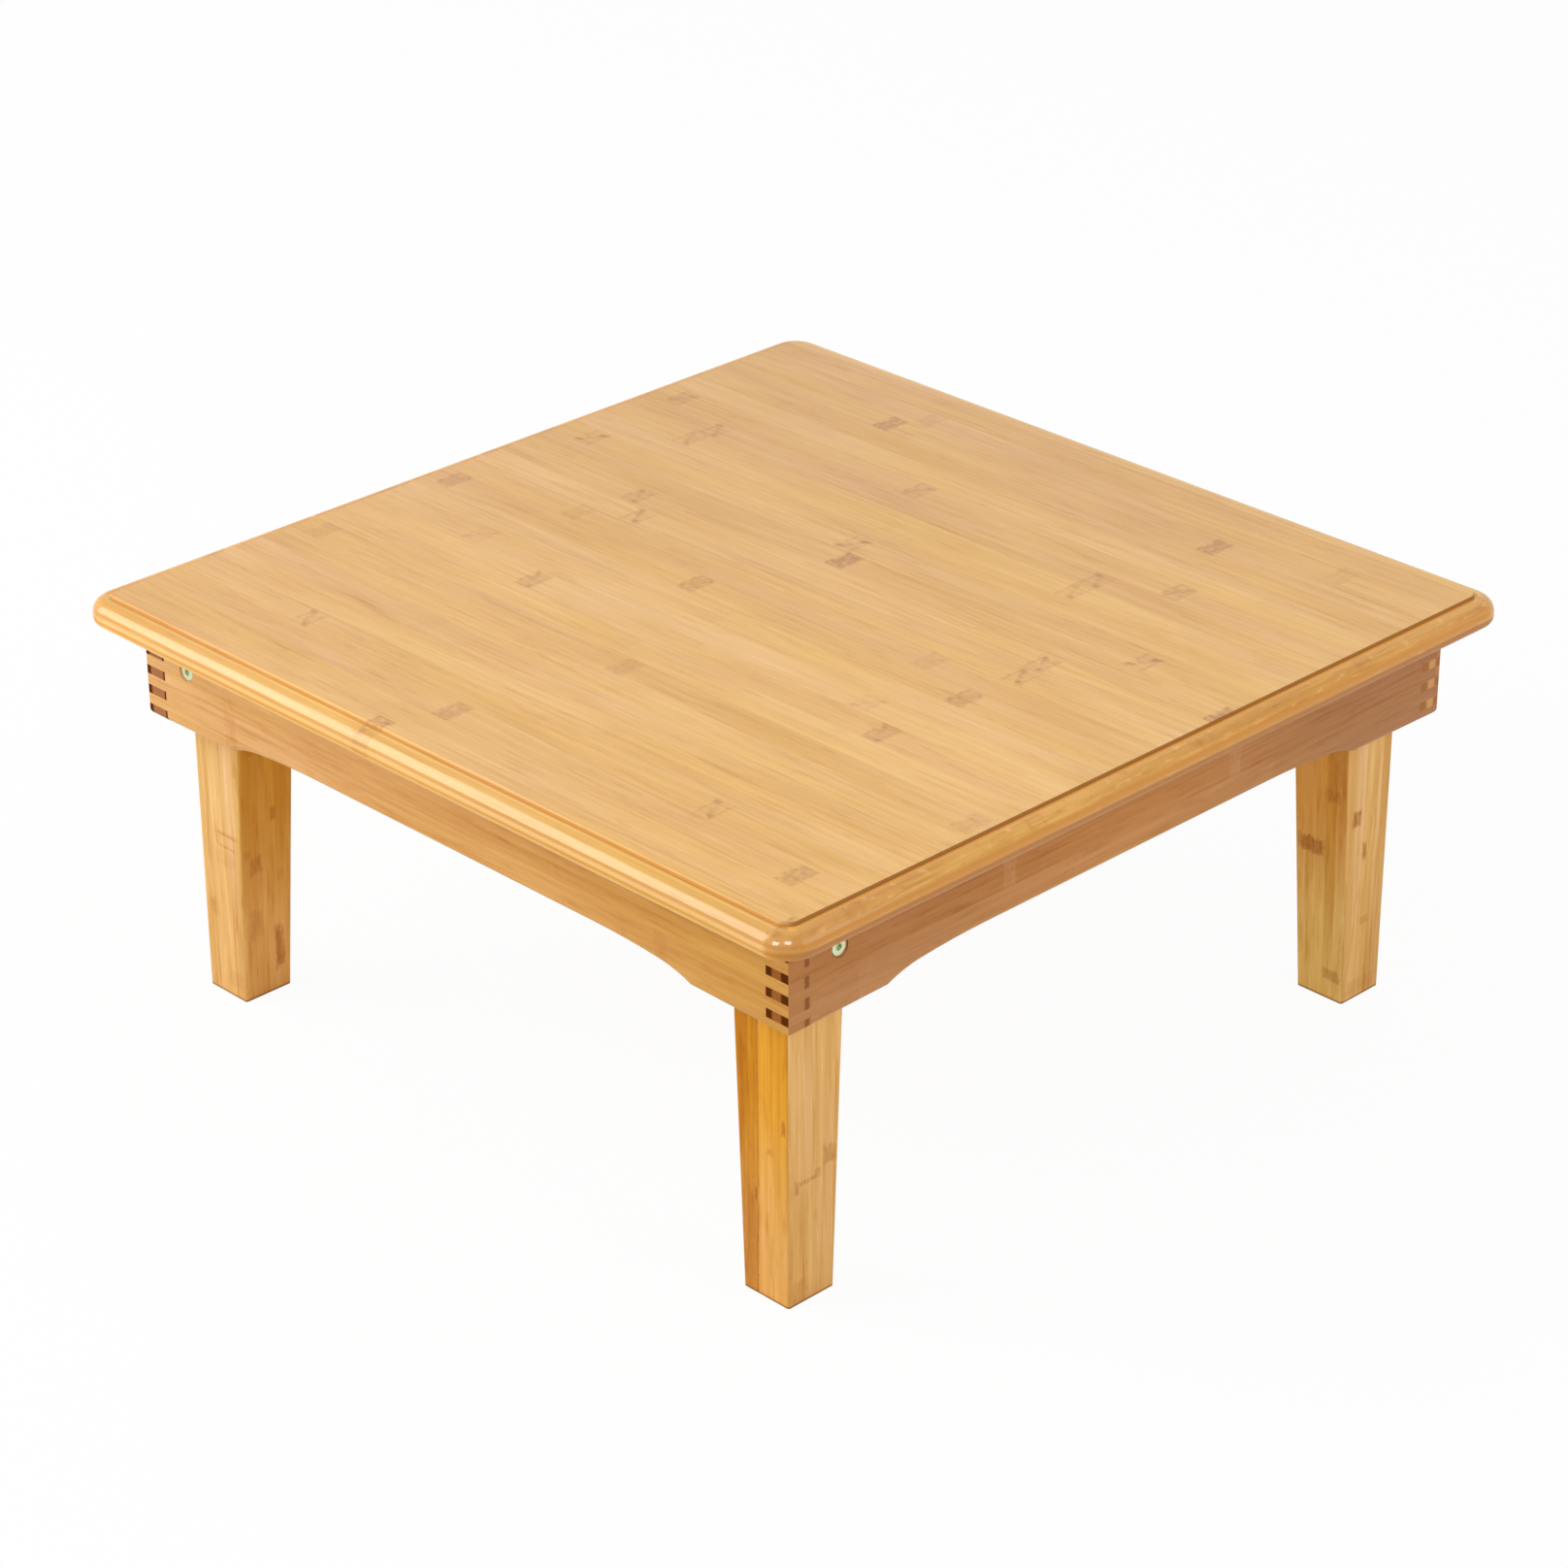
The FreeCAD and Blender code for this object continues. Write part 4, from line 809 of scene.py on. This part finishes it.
def make_top(shape, material):
    """A section of the edge carried round a square with round corners.

    At each height the ring is the outline moved in by the section's distance from the edge, and its
    corner radius is smaller by the same distance. A centre point closes the top and the underside.
    """
    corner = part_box("tabletop")[1]
    half, height = corner.x, corner.z
    section = top_profile(shape, height)
    inset, level = section[:, 0], section[:, 1]
    x, y = rounded_square_ring(half - inset, shape.corner_radius - inset,
                               corner_steps=14)
    rings, around = x.shape
    points = np.stack([x, y, np.repeat(level[:, None], around, axis=1)], axis=-1).reshape(-1, 3)
    faces = grid_faces(rings, around).tolist()
    bottom, top = len(points), len(points) + 1
    points = np.concatenate([points, [[0, 0, level[0]], [0, 0, level[-1]]]])
    last = (rings - 1) * around
    for i in range(around):
        following = (i + 1) % around
        faces.append([bottom, following, i])
        faces.append([top, last + i, last + following])
    add_piece("table_top", points, faces, "frame", material, "tabletop")


# ---- operators ----

def give(node_name, material):
    """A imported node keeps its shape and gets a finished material."""
    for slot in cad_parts[node_name].material_slots:
        slot.material = material


class LOWTABLE_OT_top(bpy.types.Operator):
    """Make the top with its round-overs and raised field"""
    bl_idname = "lowtable.top"
    bl_label = "Top"

    def execute(self, context):
        table = context.scene.low_table
        make_top(table.top, top_material(table.bamboo, table.top))
        return {"FINISHED"}


class LOWTABLE_OT_aprons(bpy.types.Operator):
    """Finish the four finger-jointed aprons"""
    bl_idname = "lowtable.aprons"
    bl_label = "Aprons"

    def execute(self, context):
        look = context.scene.low_table.bamboo
        inner_end = abs(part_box("apron_front")[1].y)
        light, dark, burnt = look.light_apron_color, look.dark_apron_color, look.burnt_color
        charred = mixed(burnt, (0.55, 0.40, 0.20))
        light_runs = (mixed(light, (1.08, 1.17, 1.60)), light, mixed(light, (0.98, 0.98, 0.78)))
        dark_runs = (mixed(dark, (1.03, 1.05, 1.0)), mixed(dark, (1.13, 1.13, 0.92)),
                     mixed(dark, (0.93, 0.94, 1.05)))
        # the sawn finger ends: their colour, then bands by depth from the inner side, softness and colour
        front_ends = (mixed(dark, (1.04, 1.10, 1.30)),
                      ((0.0015, 0.0050, 0.0010, mixed(dark, (0.62, 0.54, 0.60))),))
        right_ends = (mixed(burnt, (1.7, 1.8, 1.4)),
                      ((-0.001, 0.0046, 0.0010, charred), (0.0114, 0.018, 0.0010, charred)))
        back_ends = (mixed(dark, (0.88, 0.88, 1.0)),
                     ((0.0068, 0.0128, 0.0016, mixed(light, (1.12, 1.22, 2.0))),))
        left_ends = (mixed(burnt, (1.85, 2.4, 3.1)),
                     ((-0.001, 0.0016, 0.0008, charred), (0.0135, 0.018, 0.0008, charred)))
        looks = {
            "front": (light_runs, FRONT_STRIPS, front_ends, look.node_color),
            "right": (dark_runs, RIGHT_STRIPS, right_ends, look.pale_node_color),
            "back": (light_runs[::-1], FRONT_STRIPS, back_ends, look.node_color),
            "left": (dark_runs[::-1], RIGHT_STRIPS, left_ends, look.pale_node_color),
        }
        for number, side in enumerate(SIDES):
            colors, rows, ends, node_color = looks[side]
            strips = (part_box("apron_front")[0].z, APRON_STRIP_WIDTH, rows)
            give("apron_" + side, board_material("bamboo_apron_" + side, look, colors, "XY"[number % 2],
                                                 strips, 21 + number, inner_end, ends, node_color))
        return {"FINISHED"}


class LOWTABLE_OT_legs(bpy.types.Operator):
    """Finish the four tapered legs"""
    bl_idname = "lowtable.legs"
    bl_label = "Legs"

    def execute(self, context):
        look = context.scene.low_table.bamboo
        for number, corner in enumerate(LEG_CORNERS):
            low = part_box("leg_" + corner)[0]
            start = (low.x - LEG_STRIP_START, low.y - LEG_STRIP_START)
            give("leg_" + corner, leg_material("bamboo_leg_" + corner, look, corner, start, 31 + number))
        return {"FINISHED"}


class LOWTABLE_OT_cleats(bpy.types.Operator):
    """Finish the cleats under the top"""
    bl_idname = "lowtable.cleats"
    bl_label = "Cleats"

    def execute(self, context):
        look = context.scene.low_table.bamboo
        low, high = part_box("cleat_front")
        strips = (low.z, (high.z - low.z) / 3, ((0.03, 0.2, 0.6), (0.1, 0.23, 0.6), (-0.05, 0.25, 0.5)))
        colors = (look.cleat_color,) * 3
        ends = (look.cleat_color, ())
        for number, side in enumerate(SIDES):
            give("cleat_" + side, board_material("bamboo_cleat_" + side, look, colors, "XY"[number % 2],
                                                 strips, 51 + number, 0.0, ends, look.node_color))
        return {"FINISHED"}


class LOWTABLE_OT_hardware(bpy.types.Operator):
    """Finish the pivot bolts, washers, nuts and wood screws"""
    bl_idname = "lowtable.hardware"
    bl_label = "Hardware"

    def execute(self, context):
        look = context.scene.low_table.hardware
        plating = plated_material("pale_zinc", look.plating_color)
        screw = plated_material("screw_zinc", look.screw_color)
        nylon = nylon_material("natural_nylon", look.washer_color)
        for side in SIDES:
            for kind in ("pivot_bolt_", "nut_washer_", "lock_nut_"):
                give(kind + side, plating)
            give("friction_washer_" + side, nylon)
        for group in ("cleat_top_screws", "cleat_side_screws"):
            give(group, screw)
        return {"FINISHED"}


def area_lamp(name, place, target, size, power):
    lamp = bpy.data.lights.new(name, "AREA")
    lamp.shape = "RECTANGLE"
    lamp.size, lamp.size_y = size
    lamp.energy = power
    holder = bpy.data.objects.new(name, lamp)
    direction = (np.array(target) - np.array(place)).tolist()
    holder.rotation_euler = Vector(direction).to_track_quat("-Z", "Y").to_euler()
    holder.location = place
    bpy.context.scene.collection.objects.link(holder)
    return holder


def make_world(strength):
    """Even pale light all round, at its full level only in straight, mirrored and transmitted views."""
    world = bpy.data.worlds.new("studio")
    bpy.context.scene.world = world
    recipe = Recipe(world)
    glow = recipe.node("ShaderNodeBackground")
    recipe.feed(glow.inputs["Strength"], recipe.fade(recipe.seen(), 0.0, 1.0, strength, 1.0))
    recipe.close(glow.outputs[0], "ShaderNodeOutputWorld")


def make_floor(stage):
    """A wide flat floor; straight and mirrored views see a share of plain white with its own light."""
    half = stage.floor_size / 2
    mesh = bpy.data.meshes.new("floor")
    mesh.from_pydata([(-half, -half, 0), (half, -half, 0), (half, half, 0), (-half, half, 0)], [],
                     [(0, 1, 2, 3)])
    floor = bpy.data.objects.new("floor", mesh)
    bpy.context.scene.collection.objects.link(floor)
    recipe = Recipe(bpy.data.materials.new("pale_floor"))
    skin = recipe.node("ShaderNodeBsdfDiffuse")
    recipe.feed(skin.inputs["Color"], stage.floor_color)
    glow = recipe.node("ShaderNodeEmission")
    either = recipe.node("ShaderNodeMixShader")
    recipe.wire(either, recipe.times(recipe.seen(), stage.white_share), skin.outputs[0], glow.outputs[0])
    floor.data.materials.append(recipe.close(either.outputs[0]))


class LOWTABLE_OT_stage(bpy.types.Operator):
    """Lay the pale floor and hang the soft studio lamps; the small ones only show as highlights"""
    bl_idname = "lowtable.stage"
    bl_label = "Stage"

    def execute(self, context):
        stage = context.scene.low_table.stage
        make_world(stage.sky_strength)
        make_floor(stage)
        area_lamp("main_lamp", *MAIN_LAMP, stage.key_strength)
        area_lamp("second_lamp", *SECOND_LAMP, stage.fill_strength)
        for name, toward in SMALL_LAMPS.items():
            place = np.array(NEAR_CORNER) + SMALL_LAMP_DISTANCE * np.array(toward)
            lamp = area_lamp(name, place.tolist(), NEAR_CORNER, SMALL_LAMP_SIZE, stage.spark_strength)
            lamp.visible_diffuse = False
        context.scene.view_settings.view_transform = "Standard"
        return {"FINISHED"}


class LOWTABLE_OT_camera(bpy.types.Operator):
    """Set up the camera at the photographed angle"""
    bl_idname = "lowtable.camera"
    bl_label = "Camera"

    def execute(self, context):
        view = context.scene.low_table.view
        lens = bpy.data.cameras.new("camera")
        lens.sensor_fit = "HORIZONTAL"
        lens.sensor_width = SENSOR_WIDTH
        lens.lens = view.focal_pixels / PHOTO_SIDE * SENSOR_WIDTH
        middle = PHOTO_SIDE / 2
        lens.shift_x = (middle - view.centre_pixels[0]) / PHOTO_SIDE
        lens.shift_y = (view.centre_pixels[1] - middle) / PHOTO_SIDE
        lens.clip_end = 100.0
        camera = bpy.data.objects.new("camera", lens)
        a, e = view.azimuth, view.elevation
        back = np.array([math.sin(a) * math.cos(e), -math.cos(a) * math.cos(e), math.sin(e)])
        right = np.array([math.cos(a), math.sin(a), 0.0])
        up = np.cross(back, right)
        cos, sin = math.cos(view.roll), math.sin(view.roll)
        columns = (cos * right + sin * up, cos * up - sin * right, back, np.array(view.place))
        pose = np.eye(4)
        pose[:3] = np.stack(columns, axis=1)
        camera.matrix_world = Matrix(pose.tolist())
        context.scene.collection.objects.link(camera)
        context.scene.camera = camera
        return {"FINISHED"}


class LOWTABLE_PT_panel(bpy.types.Panel):
    """Buttons for every piece of the table"""
    bl_idname = "LOWTABLE_PT_panel"
    bl_label = "Low Table"
    bl_space_type = "VIEW_3D"
    bl_region_type = "UI"
    bl_category = "Low Table"

    def draw(self, context):
        for operator in OPERATORS:
            self.layout.operator(operator.bl_idname)


GROUPS = (TopShape, BambooLook, HardwareLook, StageLook, ViewLook, LowTable)
OPERATORS = (LOWTABLE_OT_top, LOWTABLE_OT_aprons, LOWTABLE_OT_legs, LOWTABLE_OT_cleats,
             LOWTABLE_OT_hardware, LOWTABLE_OT_stage, LOWTABLE_OT_camera)


def register():
    for group in (*GROUPS, *OPERATORS, LOWTABLE_PT_panel):
        bpy.utils.register_class(group)
    bpy.types.Scene.low_table = PointerProperty(type=LowTable)


def unregister():
    del bpy.types.Scene.low_table
    for group in reversed((*GROUPS, *OPERATORS, LOWTABLE_PT_panel)):
        bpy.utils.unregister_class(group)


def main():
    register()
    for operator in OPERATORS:
        group, name = operator.bl_idname.split(".")
        getattr(getattr(bpy.ops, group), name)()


if __name__ == "__main__":
    main()
